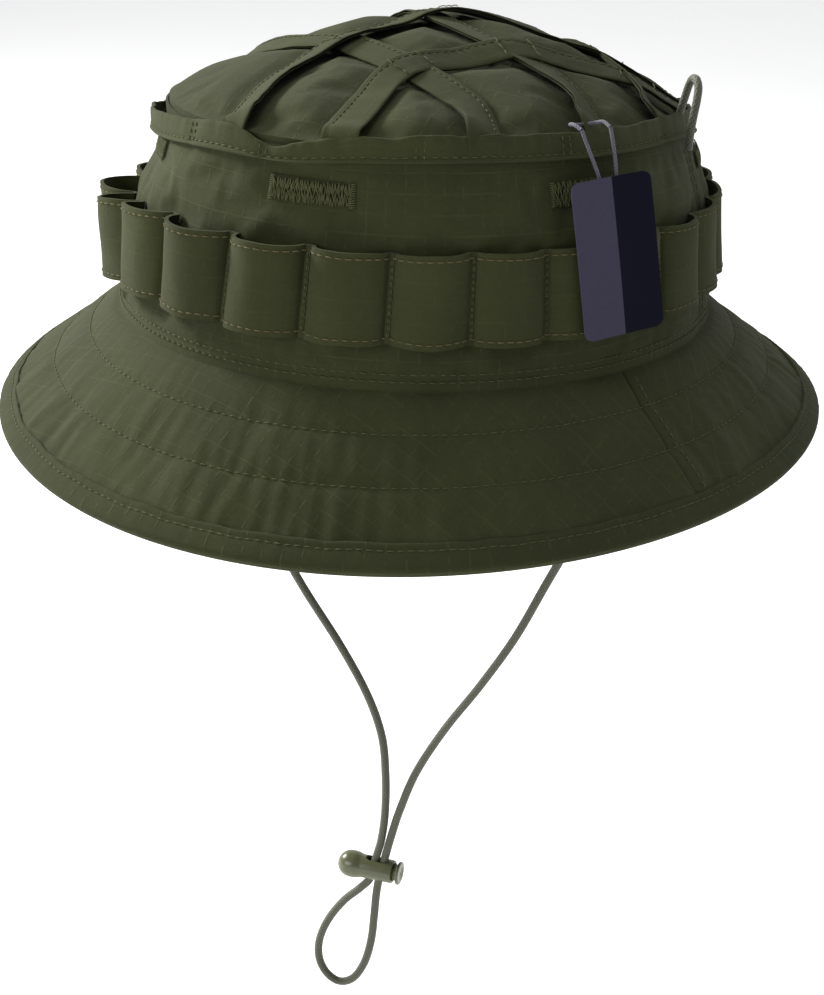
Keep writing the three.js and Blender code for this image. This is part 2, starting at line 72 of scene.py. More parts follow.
def make_camera():
    azimuth, elevation, roll = (math.radians(CAMERA[k])
                                for k in ("azimuth", "elevation", "roll"))
    back = Vector((math.sin(azimuth) * math.cos(elevation),
                   -math.cos(azimuth) * math.cos(elevation), math.sin(elevation)))
    right = Vector((0, 0, 1)).cross(back).normalized()
    turn = Matrix.Rotation(-roll, 3, -back)
    right = turn @ right
    up = back.cross(right)
    place = back * CAMERA["distance"] - right * AIM_RIGHT - up * AIM_UP
    data = bpy.data.cameras.new("camera")
    data.lens = CAMERA_LENS
    data.sensor_width = 36
    camera = bpy.data.objects.new("camera", data)
    basis = Matrix((right, up, back)).transposed().to_4x4()
    camera.matrix_world = Matrix.Translation(place) @ basis
    bpy.context.scene.collection.objects.link(camera)
    bpy.context.scene.camera = camera


make_camera()


# ------------------------------------------------------------------ grids and noise
def grid(first, second):
    """Two lists of numbers spread over a grid, whose first index runs along the first."""
    return np.meshgrid(first, second, indexing="ij")


def uv_grid(u, v):
    return np.stack(grid(u, v), -1)


def closed(line):
    """The same rows with the first one again at the end."""
    return np.vstack([line, line[:1]])


def corners_of(points):
    """The four corners of every cell of a grid, in order round the cell."""
    return np.stack([points[:-1, :-1], points[1:, :-1], points[1:, 1:], points[:-1, 1:]], 2)


def whole_turn(count):
    """Evenly spaced degrees once round the crown, the last just short of the first."""
    return np.linspace(-180, 180, count + 1)[:-1]


def noise_at(x, y, z):
    """Smooth noise, about -1 to 1, at points given as arrays or numbers."""
    x, y, z = np.broadcast_arrays(*(np.asarray(c, float) for c in (x, y, z)))
    values = [noise.noise(p) for p in zip(x.ravel(), y.ravel(), z.ravel())]
    return np.array(values).reshape(x.shape)


def ring_noise(degrees, scale, level):
    """Noise that closes on itself round the crown."""
    turn = np.radians(degrees)
    return noise_at(np.cos(turn) * scale, np.sin(turn) * scale, level)


# ------------------------------------------------------------------ mesh helpers
def new_object(name, vertices, faces, uv=None, material=None, smooth_angle=50):
    """A mesh object from arrays; uv is one (u, v) per face corner, in metres."""
    mesh = bpy.data.meshes.new(name)
    mesh.from_pydata([tuple(v) for v in vertices], [], [tuple(f) for f in faces])
    if uv is not None:
        layer = mesh.uv_layers.new(name="cloth")
        layer.data.foreach_set("uv", np.asarray(uv, dtype=np.float32).ravel())
    mesh.validate()
    mesh.shade_smooth()
    mesh.set_sharp_from_angle(angle=math.radians(smooth_angle))
    piece = bpy.data.objects.new(name, mesh)
    bpy.context.scene.collection.objects.link(piece)
    if material:
        mesh.materials.append(material)
    return piece


def face_outwards(piece):
    work = bmesh.new()
    work.from_mesh(piece.data)
    bmesh.ops.recalc_face_normals(work, faces=work.faces)
    work.to_mesh(piece.data)
    work.free()
    return piece


def loft(name, rings, uv, ring=False, material=None, smooth_angle=50):
    """A closed body through rings[n][k] of points; with ring, the last ring joins the first.

    uv has one more column than the points, and with ring one more row, to wrap round.
    """
    n, k = rings.shape[:2]
    index = np.arange(n * k).reshape(n, k)
    index = np.hstack([index, index[:, :1]])
    if ring:
        index = closed(index)
    faces = corners_of(index).reshape(-1, 4).tolist()
    corners = list(corners_of(uv).reshape(-1, 2))
    if not ring:
        for row, order in ((0, range(k - 1, -1, -1)), (n - 1, range(k))):
            faces.append(tuple(row * k + c for c in order))
            corners += [uv[row, c] for c in order]
    vertices = rings.reshape(-1, 3)
    return face_outwards(new_object(name, vertices, faces, corners, material, smooth_angle))


def normals_of(points, wrap):
    """Unit normals of a grid of points; the first index may wrap round."""
    if wrap:
        du = np.roll(points, -1, 0) - np.roll(points, 1, 0)
    else:
        du = np.gradient(points, axis=0)
    dv = np.gradient(points, axis=1)
    n = np.cross(du, dv)
    return n / np.linalg.norm(n, axis=2, keepdims=True)


def shell(name, outer, uv, thickness, wrap=False, material=None, flip=False):
    """Cloth of real thickness: outer is a grid of its outer face, and the inner lies below."""
    n, k = outer.shape[:2]
    inner = outer - normals_of(outer, wrap) * (-thickness if flip else thickness)
    index = np.arange(n * k).reshape(n, k)
    if wrap:
        index = closed(index)
    top, top_uv = corners_of(index).reshape(-1, 4), corners_of(uv).reshape(-1, 4, 2)
    faces, corners = [top, top[:, ::-1] + n * k], [top_uv, top_uv[:, ::-1]]
    edges = [(index[:, 0], uv[:, 0]), (index[:, -1], uv[:, -1])]
    if not wrap:
        edges += [(index[0], uv[0]), (index[-1], uv[-1])]
    for line, line_uv in edges:
        a, b = line[:-1], line[1:]
        faces.append(np.stack([a, b, b + n * k, a + n * k], 1))
        corners.append(np.stack([line_uv[:-1], line_uv[1:], line_uv[1:], line_uv[:-1]], 1))
    vertices = np.vstack([outer.reshape(-1, 3), inner.reshape(-1, 3)])
    return face_outwards(new_object(name, vertices, np.vstack(faces), np.vstack(corners),
                                    material))


def length_along(points):
    step = np.linalg.norm(np.diff(points, axis=0), axis=1)
    return np.concatenate([[0], np.cumsum(step)])


def spline(points, steps):
    """A smooth line through given points, resampled to even steps."""
    p = np.array(points, dtype=float)
    p = np.vstack([2 * p[0] - p[1], p, 2 * p[-1] - p[-2]])
    fine = []
    for a, b, c, d in zip(p[:-3], p[1:-2], p[2:-1], p[3:]):
        t = np.linspace(0, 1, 16, endpoint=False)[:, None]
        fine.append(0.5 * (2 * b + (c - a) * t + (2 * a - 5 * b + 4 * c - d) * t ** 2
                           + (3 * b - a - 3 * c + d) * t ** 3))
    fine = np.vstack(fine + [p[-2][None]])
    s = length_along(fine)
    even = np.linspace(0, s[-1], steps)
    return np.stack([np.interp(even, s, fine[:, c]) for c in range(3)], 1)


def unit(v):
    return v / np.maximum(np.linalg.norm(v, axis=-1, keepdims=True), 1e-12)


def tube(name, path, radius, sides, material):
    """A round cord along a path; u runs round it and v along it, both in metres."""
    tangent = unit(np.gradient(path, axis=0))
    frame_side = np.zeros_like(path)
    side = unit(np.cross(tangent[0], [0.3, 0.9, 0.1]))
    for i, t in enumerate(tangent):
        side = unit(side - t * np.dot(side, t))
        frame_side[i] = side
    binormal = np.cross(tangent, frame_side)
    angle = np.linspace(0, 2 * math.pi, sides, endpoint=False)
    rings = path[:, None] + radius * (frame_side[:, None] * np.cos(angle)[None, :, None]
                                      + binormal[:, None] * np.sin(angle)[None, :, None])
    uv = uv_grid(length_along(path), np.linspace(0, 2 * math.pi * radius, sides + 1))
    return loft(name, rings, uv[..., ::-1], material=material)


# ------------------------------------------------------------------ threads
STITCH_PITCH = 2.7 * MM
STITCH_LENGTH = 1.9 * MM
THREAD = 0.17 * MM            # radius of the sewing thread
PROUD = 0.14 * MM             # how far a thread's middle stands over most seams
# Along one stitch: where its rings are, how high they arch and how thick they are.
STITCH_ALONG = np.array([-0.5, -0.38, 0, 0.38, 0.5])
STITCH_ARCH = np.array([-1.6, 0.0, 0.45, 0.0, -1.6])
STITCH_SIZE = np.array([0.45, 0.95, 1, 0.95, 0.45])
STITCH_SIDES = 6


class Threads:
    """Collects sewn stitches, each a short arched thread, into one mesh."""

    def __init__(self):
        self.rows = []

    def row(self, line, up, pitch=STITCH_PITCH, length=STITCH_LENGTH, lift=0.1 * MM):
        """Evenly spaced stitches along a sewn line, each lying across the way up."""
        s = length_along(line)
        count = max(1, int(s[-1] / pitch))
        middle = (np.arange(count) + 0.5) * s[-1] / count
        at = lambda q, data: np.stack([np.interp(q, s, data[:, c]) for c in range(3)], 1)
        a, b = at(middle - length / 2, line), at(middle + length / 2, line)
        normal = unit(at(middle, up))
        centre = at(middle, line) + normal * lift
        self.rows.append((centre, unit(b - a), normal, np.full(count, length), THREAD))

    def bars(self, starts, ends, up, radius=THREAD, lift=0.1 * MM):
        """Separate straight threads from starts to ends."""
        centre = (starts + ends) / 2 + unit(up) * lift
        length = np.linalg.norm(ends - starts, axis=1)
        self.rows.append((centre, unit(ends - starts), unit(up), length, radius))

    def build(self, name, material):
        angle = np.linspace(0, 2 * math.pi, STITCH_SIDES, endpoint=False)
        vertices = []
        for centre, tangent, normal, length, radius in self.rows:
            side = unit(np.cross(tangent, normal))
            normal = np.cross(side, tangent)
            for c, t, s, n, span in zip(centre, tangent, side, normal, length):
                axis = c + np.outer(STITCH_ALONG * span, t) + np.outer(STITCH_ARCH * radius, n)
                ring = np.outer(np.cos(angle), s) + np.outer(np.sin(angle), n)
                thick = (radius * STITCH_SIZE)[:, None, None]
                vertices.append((axis[:, None] + ring[None] * thick).reshape(-1, 3))
        index = np.arange(len(vertices[0])).reshape(-1, STITCH_SIDES)
        sides = corners_of(np.hstack([index, index[:, :1]])).reshape(-1, 4)[:, [0, 3, 2, 1]]
        caps = np.array([index[0, ::-1], index[-1]])
        faces = []
        for base in range(0, index.size * len(vertices), index.size):
            faces += (sides + base).tolist() + (caps + base).tolist()
        return face_outwards(new_object(name, np.vstack(vertices), faces, None, material, 80))


# ------------------------------------------------------------------ materials
class Nodes:
    """Short spellings for building a node tree."""

    def __init__(self, name):
        self.material = bpy.data.materials.new(name)
        self.material.use_nodes = True
        self.tree = self.material.node_tree
        self.shader = self.tree.nodes["Principled BSDF"]

    def link(self, source, target):
        self.tree.links.new(source, target)

    def put(self, value, socket):
        if hasattr(value, "is_output"):
            self.link(value, socket)
        else:
            socket.default_value = value

    def math(self, operation, a, b=0.0):
        node = self.tree.nodes.new("ShaderNodeMath")
        node.operation = operation
        self.put(a, node.inputs[0])
        self.put(b, node.inputs[1])
        return node.outputs[0]

    def times(self, a, b):
        return self.math("MULTIPLY", a, b)

    def plus(self, a, b):
        return self.math("ADD", a, b)

    def wave(self, coordinate, length):
        """A sine along one cloth direction."""
        return self.math("SINE", self.times(coordinate, 2 * math.pi / length))

    def uv(self):
        node = self.tree.nodes.new("ShaderNodeUVMap")
        node.uv_map = "cloth"
        split = self.tree.nodes.new("ShaderNodeSeparateXYZ")
        self.link(node.outputs[0], split.inputs[0])
        return split.outputs[0], split.outputs[1], node.outputs[0]

    def place(self):
        return self.tree.nodes.new("ShaderNodeTexCoord").outputs["Object"]

    def noise(self, vector, scale, detail=3.0):
        """Noise at a place or uv; scale is one number, or three for a stretched grain."""
        node = self.tree.nodes.new("ShaderNodeTexNoise")
        if isinstance(scale, tuple):
            mapping = self.tree.nodes.new("ShaderNodeMapping")
            mapping.inputs["Scale"].default_value = scale
            self.link(vector, mapping.inputs["Vector"])
            vector, scale = mapping.outputs[0], 1.0
        for socket, value in (("Scale", scale), ("Detail", detail), ("Roughness", 0.55)):
            node.inputs[socket].default_value = value
        self.link(vector, node.inputs["Vector"])
        return node.outputs["Fac"]

    def ramp(self, value, low, high):
        node = self.tree.nodes.new("ShaderNodeMapRange")
        node.interpolation_type = "SMOOTHSTEP"
        node.inputs["From Min"].default_value = low
        node.inputs["From Max"].default_value = high
        self.put(value, node.inputs["Value"])
        return node.outputs[0]

    def mix(self, factor, a, b):
        """A blend of two colours, whose sockets are numbers 6, 7 and 2 of a Mix node."""
        node = self.tree.nodes.new("ShaderNodeMix")
        node.data_type = "RGBA"
        self.put(factor, node.inputs[0])
        self.put(a, node.inputs[6])
        self.put(b, node.inputs[7])
        return node.outputs[2]

    def bump(self, height, distance, strength=1.0, under=None):
        node = self.tree.nodes.new("ShaderNodeBump")
        node.inputs["Strength"].default_value = strength
        node.inputs["Distance"].default_value = distance
        self.put(height, node.inputs["Height"])
        if under is not None:
            self.link(under, node.inputs["Normal"])
        return node.outputs[0]

    def finish(self, color, normal=None, **sockets):
        self.put(color, self.shader.inputs["Base Color"])
        if normal is not None:
            self.link(normal, self.shader.inputs["Normal"])
        for name, value in sockets.items():
            self.put(value, self.shader.inputs[name.replace("_", " ")])
        return self.material


def rgb(r, g, b):
    return (r, g, b, 1.0)


def shade(color, factor):
    return rgb(*(min(1.0, c * factor) for c in color[:3]))


RIPSTOP_PITCH = 5.4 * MM      # spacing of the heavier ripstop threads
RIPSTOP_WIDTH = 0.42 * MM
THREAD_PITCH = 0.46 * MM      # spacing of the plain weave's threads


def grid_lines(n, coordinate, pitch, width):
    """1 on evenly spaced lines along one cloth direction."""
    turn = n.math("DIVIDE", coordinate, pitch)
    off = n.math("ABSOLUTE", n.math("SUBTRACT", n.math("FRACT", turn), 0.5))
    return n.ramp(off, width / pitch, 0.25 * width / pitch)


def make_cloth(name, color, ripstop=1.0, weave=1.0, rough=0.86):
    """Plain weave with slubs and patches of tone, under a ripstop grid with gaps in it."""
    n = Nodes(name)
    u, v, uv = n.uv()
    place = n.place()
    across = grid_lines(n, u, RIPSTOP_PITCH, RIPSTOP_WIDTH)
    along = grid_lines(n, v, RIPSTOP_PITCH, RIPSTOP_WIDTH)
    gaps_u = n.ramp(n.noise(uv, (90, 420, 1), 2.0), 0.44, 0.62)
    gaps_v = n.ramp(n.noise(uv, (60, 900, 1), 2.0), 0.40, 0.58)
    lines = n.math("MAXIMUM", n.times(across, gaps_u), n.times(along, gaps_v))
    plain = n.times(n.wave(u, THREAD_PITCH), n.wave(v, THREAD_PITCH))
    slubs = n.noise(uv, (500, 2600, 1))
    patch = n.noise(place, 22.0, 4.0)
    fine = n.noise(place, 900.0, 2.0)
    tone = n.mix(n.ramp(patch, 0.3, 0.72), shade(color, 0.86), shade(color, 1.14))
    tone = n.mix(n.times(n.ramp(slubs, 0.45, 0.75), 0.30), tone, shade(color, 1.35))
    tone = n.mix(n.times(n.ramp(fine, 0.35, 0.7), 0.22), tone, shade(color, 0.72))
    tone = n.mix(n.times(lines, 0.30 * ripstop), tone, shade(color, 1.75))
    small = n.plus(n.times(plain, 0.35 * weave), n.times(slubs, 0.9))
    bumps = n.bump(small, 0.12 * MM, 0.55)
    bumps = n.bump(lines, 0.12 * MM, 0.5 * ripstop, bumps)
    bumps = n.bump(n.noise(place, 160.0), 0.5 * MM, 0.35, bumps)
    roughness = n.plus(n.times(patch, 0.12), rough - 0.06)
    return n.finish(tone, bumps, Roughness=roughness, Sheen_Weight=0.03, Sheen_Roughness=0.5,
                    Specular_IOR_Level=0.10)


def make_thread(name, color):
    n = Nodes(name)
    place = n.place()
    tone = n.mix(n.noise(place, 700.0, 2.0), shade(color, 0.75), shade(color, 1.25))
    twist = n.bump(n.noise(place, 3000.0, 2.0), 0.06 * MM, 0.5)
    return n.finish(tone, twist, Roughness=0.75, Sheen_Weight=0.03, Specular_IOR_Level=0.12)


def make_braid(name, color, radius, strands=8, lay=3.2 * MM):
    """A braided sheath: two sets of strands wound opposite ways, over and under."""
    n = Nodes(name)
    u, v, _ = n.uv()
    turn = n.times(u, strands / (2 * math.pi * radius) * math.pi)
    rise = n.times(v, 2 * math.pi / lay)
    left = n.math("SINE", n.plus(turn, rise))
    right = n.math("SINE", n.math("SUBTRACT", turn, rise))
    height = n.math("MAXIMUM", n.math("ABSOLUTE", left), n.math("ABSOLUTE", right))
    place = n.place()
    tone = n.mix(n.noise(place, 60.0), shade(color, 0.8), shade(color, 1.2))
    # Painted shade: the hollows between the strands are darkened to under half the colour.
    tone = n.mix(n.ramp(height, 0.95, 0.55), tone, shade(color, 0.45))
    bumps = n.bump(height, 0.22 * MM, 0.8)
    bumps = n.bump(n.noise(place, 2500.0, 2.0), 0.05 * MM, 0.4, bumps)
    return n.finish(tone, bumps, Roughness=0.62, Sheen_Weight=0.25, Sheen_Roughness=0.4)


def make_plastic(name, color):
    n = Nodes(name)
    place = n.place()
    tone = n.mix(n.noise(place, 90.0), shade(color, 0.88), shade(color, 1.12))
    grain = n.bump(n.noise(place, 1400.0, 2.0), 0.04 * MM, 0.35)
    roughness = n.plus(n.times(n.noise(place, 300.0, 2.0), 0.14), 0.2)
    return n.finish(tone, grain, Roughness=roughness, Specular_IOR_Level=0.5)


def make_metal(name, color):
    n = Nodes(name)
    place = n.place()
    tone = n.mix(n.noise(place, 400.0), shade(color, 0.8), shade(color, 1.1))
    scratches = n.bump(n.noise(place, 2000.0), 0.02 * MM, 0.3)
    return n.finish(tone, scratches, Metallic=1.0, Roughness=0.32)


def make_card(name):
    """Laminated board printed in two plain fields, side by side."""
    n = Nodes(name)
    place = n.place()
    fibres = n.noise(place, 800.0)
    mauve = n.mix(fibres, rgb(0.052, 0.048, 0.078), rgb(0.064, 0.06, 0.092))
    navy = n.mix(fibres, rgb(0.0045, 0.0048, 0.012), rgb(0.007, 0.0075, 0.017))
    tone = n.mix(n.ramp(n.uv()[0], 0.2 * MM, 0.5 * MM), mauve, navy)
    grain = n.bump(n.noise(place, 500.0, 2.0), 0.04 * MM, 0.25)
    return n.finish(tone, grain, Roughness=0.5, Specular_IOR_Level=0.04)


OLIVE = rgb(0.0345, 0.0392, 0.0152)
CORD = 2.8 * MM
HANG_CORD = 2.4 * MM
STRING = 1.0 * MM
MATERIALS = {
    "cloth": make_cloth("ripstop_olive", OLIVE),
    "trim": make_cloth("ripstop_tape", shade(OLIVE, 1.08), ripstop=0.5),
    "lining": make_cloth("lining_olive", shade(OLIVE, 0.8), ripstop=0.0, weave=1.6),
    "interlining": make_cloth("interlining", rgb(0.2, 0.2, 0.16), ripstop=0.0),
    "label": make_cloth("label_satin", rgb(0.42, 0.40, 0.34), ripstop=0.0, weave=0.6, rough=0.5),
    "thread": make_thread("thread_olive", rgb(0.070, 0.074, 0.032)),
    "cord": make_braid("braid_olive", rgb(0.088, 0.091, 0.060), CORD / 2),
    "string": make_braid("string_grey", rgb(0.10, 0.095, 0.13), STRING / 2, 4, 2 * MM),
    "lock": make_plastic("acetal_olive", rgb(0.098, 0.105, 0.055)),
    "hem_thread": make_thread("thread_tan", rgb(0.115, 0.098, 0.046)),
    "vent": make_cloth("vent_cloth", shade(OLIVE, 0.85), ripstop=0.0),
    "binding": make_cloth("ripstop_binding", shade(OLIVE, 0.92), ripstop=1.4),
    "card": make_card("card_print"),
    "spring": make_metal("spring_wire", rgb(0.6, 0.6, 0.58)),
}


def settle(piece, body, slot, *nodes):
    """A piece rides on its body and stands for CAD nodes, which are hidden; slot is not used."""
    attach(piece, body)
    if nodes:
        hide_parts(*nodes)
    return piece


# ------------------------------------------------------------------ cords
# Routes in millimetres: the chin cord and the hanging loop from the hat's own origin, the
# tag's string and the rest of it behind the band (the tie) from the tag's.
CHIN_CORD = [
    (84.1, -4, -2.6), (83.3, -4, -8), (78.1, -4.4, -24), (69.5, -5, -44), (59.5, -5.6, -65),
    (49.5, -6.2, -87), (40.2, -6.8, -108), (29.6, -7.3, -127), (18.4, -7.8, -145),
    (9.4, -8.3, -162.5), (4.2, -8.7, -178), (1.25, -9, -190), (-0.6, -9, -198.6),
    (-2.3, -9, -206.6), (-3.1, -9, -213), (-3.6, -9, -222), (-4.4, -9, -232),
    (-6.6, -9, -241.5), (-10.6, -9, -248.8), (-15.8, -9, -251.4), (-20.8, -9, -248.8),
    (-23.6, -9, -243), (-23.4, -9, -235.4), (-20.2, -9, -226.6), (-14.8, -9, -218),
    (-9, -9, -211.6), (-5.4, -9, -206.6), (-3.7, -9, -198.6), (-1.85, -9, -190),
    (-1.1, -8.7, -179), (-1.6, -8.3, -166), (-3.6, -7.9, -152), (-9.4, -7.4, -138),
    (-19.6, -6.9, -122), (-34.5, -6.4, -102), (-49.2, -5.8, -79), (-62.6, -5.2, -55),
    (-73.8, -4.6, -32), (-81.4, -4.2, -14), (-84.1, -4, -2.6),
]
HANG_LOOP = [
    (81.9, -3, 54), (82.1, -3, 59), (82.6, -3, 64), (83.1, -2.7, 68.4), (83, -1.5, 71.8),
    (82, 0.2, 73.7), (80.5, 2.2, 73.7), (79.1, 4.2, 71.3), (77.8, 5.8, 67.0), (76.1, 7.0, 60.8),
]
TAG_TOP = (70.7, -54.2, 54.8)   # middle of the card's upper edge, back face
TAG_TURN = math.radians(54)     # the tag's own x axis from +X; its -y faces out
TAG_STRING = [
    (-6.5, 4.9, 12.2), (-5.6, 3.4, 8.5), (-4.1, 2, 4), (-3, 0.95, 0.5), (-2.2, 0.3, -2.4),
    (-0.6, -0.05, -4.4), (1.2, -0.05, -4.4), (2.7, 0.3, -2.4), (3.3, 0.95, 0.5), (3.5, 2, 4),
    (3.5, 3.4, 8.5), (3.5, 4.9, 12.2),
]
TAG_TIE = [
    (-6.5, 5.0, 12.3), (-6.7, 8.2, 13.2), (-5.6, 11, 12.6), (-2.6, 12.5, 12.0), (0.6, 12.2, 12.0),
    (2.9, 10.4, 12.6), (3.6, 8, 13.2), (3.5, 5.0, 12.3),
]


def from_tag(points):
    """Points of the tag's own frame, in millimetres, as points of the hat's, in metres."""
    x, y, z = np.moveaxis(np.array(points, dtype=float), -1, 0)
    c, s = math.cos(TAG_TURN), math.sin(TAG_TURN)
    return (np.stack([x * c - y * s, x * s + y * c, z], -1) + TAG_TOP) * MM


def free_cord(name, node, body, slot, points, diameter, steps, **facts):
    path = spline(points, steps)
    piece = tube(name, path, diameter / 2, 12, MATERIALS[slot])
    settle(piece, body, slot, node)


def make_cords(lock_pieces):
    free_cord("chin_cord_braid", "chin_cord", "chin_cord", "cord", np.array(CHIN_CORD) * MM,
              CORD, 420, stiffness="limp", lay="hanging", with_pieces=lock_pieces)
    free_cord("hang_loop_braid", "hang_loop", "hat", "cord", np.array(HANG_LOOP) * MM,
              HANG_CORD, 70, stiffness="medium", lay="taut")
    free_cord("tag_string_twist", "tag_string", "hang_tag", "string", from_tag(TAG_STRING),
              STRING, 90, stiffness="limp", lay="hanging")
    route = spline(from_tag(TAG_TIE), 60)       # tied down, and too short to hang
    tie = tube("tag_tie_twist", route, STRING / 2, 12, MATERIALS["string"])
    settle(tie, "hat", "string", "tag_tie")


# ------------------------------------------------------------------ the hat's surfaces
# These follow the CAD's own crown and brim; angles in degrees, lengths in millimetres,
# and the points they return in metres.
SEAM_A, SEAM_B = 90, 100            # half axes of the seam between crown and brim
CLOTH = 0.7 * MM                    # thickness of the crown's cloth
EDGE_Z = 60.0                       # top edge of the side wall
LOOP_Z0, LOOP_Z1 = 12.4, 36.6       # foot and top of the foliage loops
LOOP_MIDDLE, LOOP_HALF = 24.5, 12.1
SAG_DEPTH = 9.0
TIP_SHOULDER = 64.5                 # rim of the tip before the crown sags
TIP_APEX_Z = 83.4
TIP_APEX = np.array([2.0, 23.0])    # the highest point, in plan
TIP_POWER = 1.46
BRIM_REACH = 36.1                   # how far the brim reaches out, in plan
BRIM_DEPTH = 2.6                    # from the upper ply's face to the lower ply's
BRIM_SEAM = -30.5


def upper_share(z):
    """0 up to the foliage loops and 1 at the crown's edge, with a soft start."""
    s = (np.asarray(z, dtype=float) - LOOP_Z1) / (EDGE_Z - LOOP_Z1)
    return 0.5 * (s + np.sqrt(s * s + 0.02))


def crown_ellipse(z):
    """Half width, half length and lean to the back of the crown at a height."""
    t = np.asarray(z, dtype=float) / EDGE_Z
    return SEAM_A - 8.0 * t - 4.2 * upper_share(z), SEAM_B - 4.6 * t, 7.6 * t


def sag(y, z):
    """How far the soft crown has sunk, which is more towards the back."""
    t = np.clip((y + 60) / 150, 0, 1)
    return SAG_DEPTH * np.minimum(1, upper_share(z)) * t * t * (3 - 2 * t)


def wall_point(degrees, z, out):
    """A point of the side wall; out goes square out of it, in plan."""
    degrees, z, out = np.broadcast_arrays(np.asarray(degrees, float), z, out)
    t = np.radians(degrees)
    a, b, lean = crown_ellipse(z)
    nx, ny = np.cos(t) / a, np.sin(t) / b
    size = np.hypot(nx, ny)
    x = a * np.cos(t) + out * nx / size
    y = b * np.sin(t) + out * ny / size + lean
    return np.stack([x, y, z - sag(y, z)], -1) * MM


def wall_out(degrees):
    """The way out of the wall, in plan."""
    t = np.radians(np.asarray(degrees, float))
    return unit(np.stack([np.cos(t) / SEAM_A, np.sin(t) / SEAM_B, np.zeros_like(t)], -1))


def around(degrees, z=30.0):
    """How far round the crown an angle lies, in metres."""
    steps = np.radians(np.linspace(-180, 360, 1081))
    a, b, _ = crown_ellipse(z)
    s = length_along(np.stack([a * np.cos(steps), b * np.sin(steps)], 1))
    return np.interp(np.radians(degrees), steps, s) * MM


def dome(share, rim_y):
    """Height of the tip's cloth, from its apex (0) to its rim (1)."""
    rise = (TIP_APEX_Z - TIP_SHOULDER) * (1 - share ** TIP_POWER)
    return TIP_SHOULDER + rise - sag(rim_y, TIP_SHOULDER) * share


def tip_height(x, y):
    """Height of the dome over a point in plan."""
    a, b, lean = crown_ellipse(TIP_SHOULDER)
    px, py = TIP_APEX[0] / a, (TIP_APEX[1] - lean) / b
    dx, dy = (x - TIP_APEX[0]) / a, (y - TIP_APEX[1]) / b
    size = np.maximum(dx * dx + dy * dy, 1e-9)
    along = px * dx + py * dy
    reach = (np.sqrt(along ** 2 + size * (1 - px * px - py * py)) - along) / size
    share = np.minimum(1, 1 / reach)
    return dome(share, TIP_APEX[1] + (y - TIP_APEX[1]) / np.maximum(share, 0.01))


def brim_frame(degrees):
    """Angle in radians, fall from seam to edge and slope of the brim."""
    t = np.radians(np.asarray(degrees, float))
    drop = 30.2 - 1.8 * np.cos(2 * t) - 5.5 * np.sin(t)
    slope = np.arctan2(drop, BRIM_REACH)
    return t, drop, slope


def brim_point(degrees, t, down):
    """t is 0 at the crown and 1 at the edge; down goes square into the brim."""
    degrees, t, down = np.broadcast_arrays(np.asarray(degrees, float), t, down)
    angle, drop, slope = brim_frame(degrees)
    reach = BRIM_REACH * t - down * np.sin(slope)
    x = (SEAM_A + reach) * np.cos(angle)
    y = (SEAM_B + reach) * np.sin(angle)
    return np.stack([x, y, -drop * t - down * np.cos(slope)], -1) * MM


def brim_up(degrees):
    """The way out of the brim's upper face."""
    angle, _, slope = brim_frame(degrees)
    return np.stack([np.sin(slope) * np.cos(angle), np.sin(slope) * np.sin(angle),
                     np.cos(slope)], -1)


def brim_cloth(degrees, t, panel_middle):
    """Where a point of the brim lies on the flat cloth its panel was cut from."""
    cosine = np.cos(brim_frame(degrees)[2])
    turn = np.radians(degrees - panel_middle) * cosine
    r = (SEAM_A + SEAM_B) / 2 / cosine + t * BRIM_REACH / cosine
    return np.stack([r * np.sin(turn), r * np.cos(turn)], -1) * MM


def folds(u, v, angle, length, width, seed):
    """Soft parallel folds in cloth; u, v and the sizes are in millimetres."""
    c, s = math.cos(math.radians(angle)), math.sin(math.radians(angle))
    return noise_at((u * c + v * s) / length, (v * c - u * s) / width, seed)


def near(value, at, width):
    """1 at a value, falling off to nothing about twice the width away."""
    return np.exp(-((value - at) / width) ** 2)


def away(degrees, at):
    """Signed angle from `at`, wrapped to half a turn either way."""
    return (np.asarray(degrees, float) - at + 180) % 360 - 180


SETTLE_FRAMES = 22
SETTLE_SCALE = 10.0           # the solver works best on pieces about a metre across


def let_settle(points, pinned, grow, pressure):
    """A cut piece a little larger than its place, sewn where pinned is 1, finds its folds."""
    n, k = points.shape[:2]
    quads = corners_of(np.arange(n * k).reshape(n, k)).reshape(-1, 4)
    mesh = bpy.data.meshes.new("cut_piece")
    mesh.from_pydata((points.reshape(-1, 3) * SETTLE_SCALE).tolist(), [], quads.tolist())
    piece = bpy.data.objects.new("cut_piece", mesh)
    scene = bpy.context.scene
    scene.collection.objects.link(piece)
    group = piece.vertex_groups.new(name="sewn")
    for i, weight in enumerate(pinned.ravel()):
        group.add([i], float(weight), "REPLACE")
    cloth = piece.modifiers.new("cloth", "CLOTH")
    cloth.point_cache.frame_start, cloth.point_cache.frame_end = 1, SETTLE_FRAMES
    rules = cloth.settings
    rules.vertex_group_mass = "sewn"
    rules.shrink_min = -grow
    rules.quality = 7
    rules.mass = 0.3
    rules.tension_stiffness = rules.compression_stiffness = 25
    rules.shear_stiffness = 12
    rules.bending_stiffness = 1.2
    rules.air_damping = 4
    rules.use_pressure = True
    rules.uniform_pressure_force = pressure
    rules.effector_weights.gravity = 0
    cloth.collision_settings.use_collision = False
    for f in range(1, SETTLE_FRAMES + 1):
        scene.frame_set(f)
    settled = piece.evaluated_get(bpy.context.evaluated_depsgraph_get())
    flat = np.empty(n * k * 3)
    settled.data.vertices.foreach_get("co", flat)
    scene.frame_set(1)
    bpy.data.objects.remove(piece)
    bpy.data.meshes.remove(mesh)
    return flat.reshape(n, k, 3) / SETTLE_SCALE


# ------------------------------------------------------------------ crown side
VENTS = [-144, -91, -37.5, 14, 66, 118, 167]
VENT_Z = 50.0
EVEN_ANGLES = -90 + 15.0 * np.arange(24)
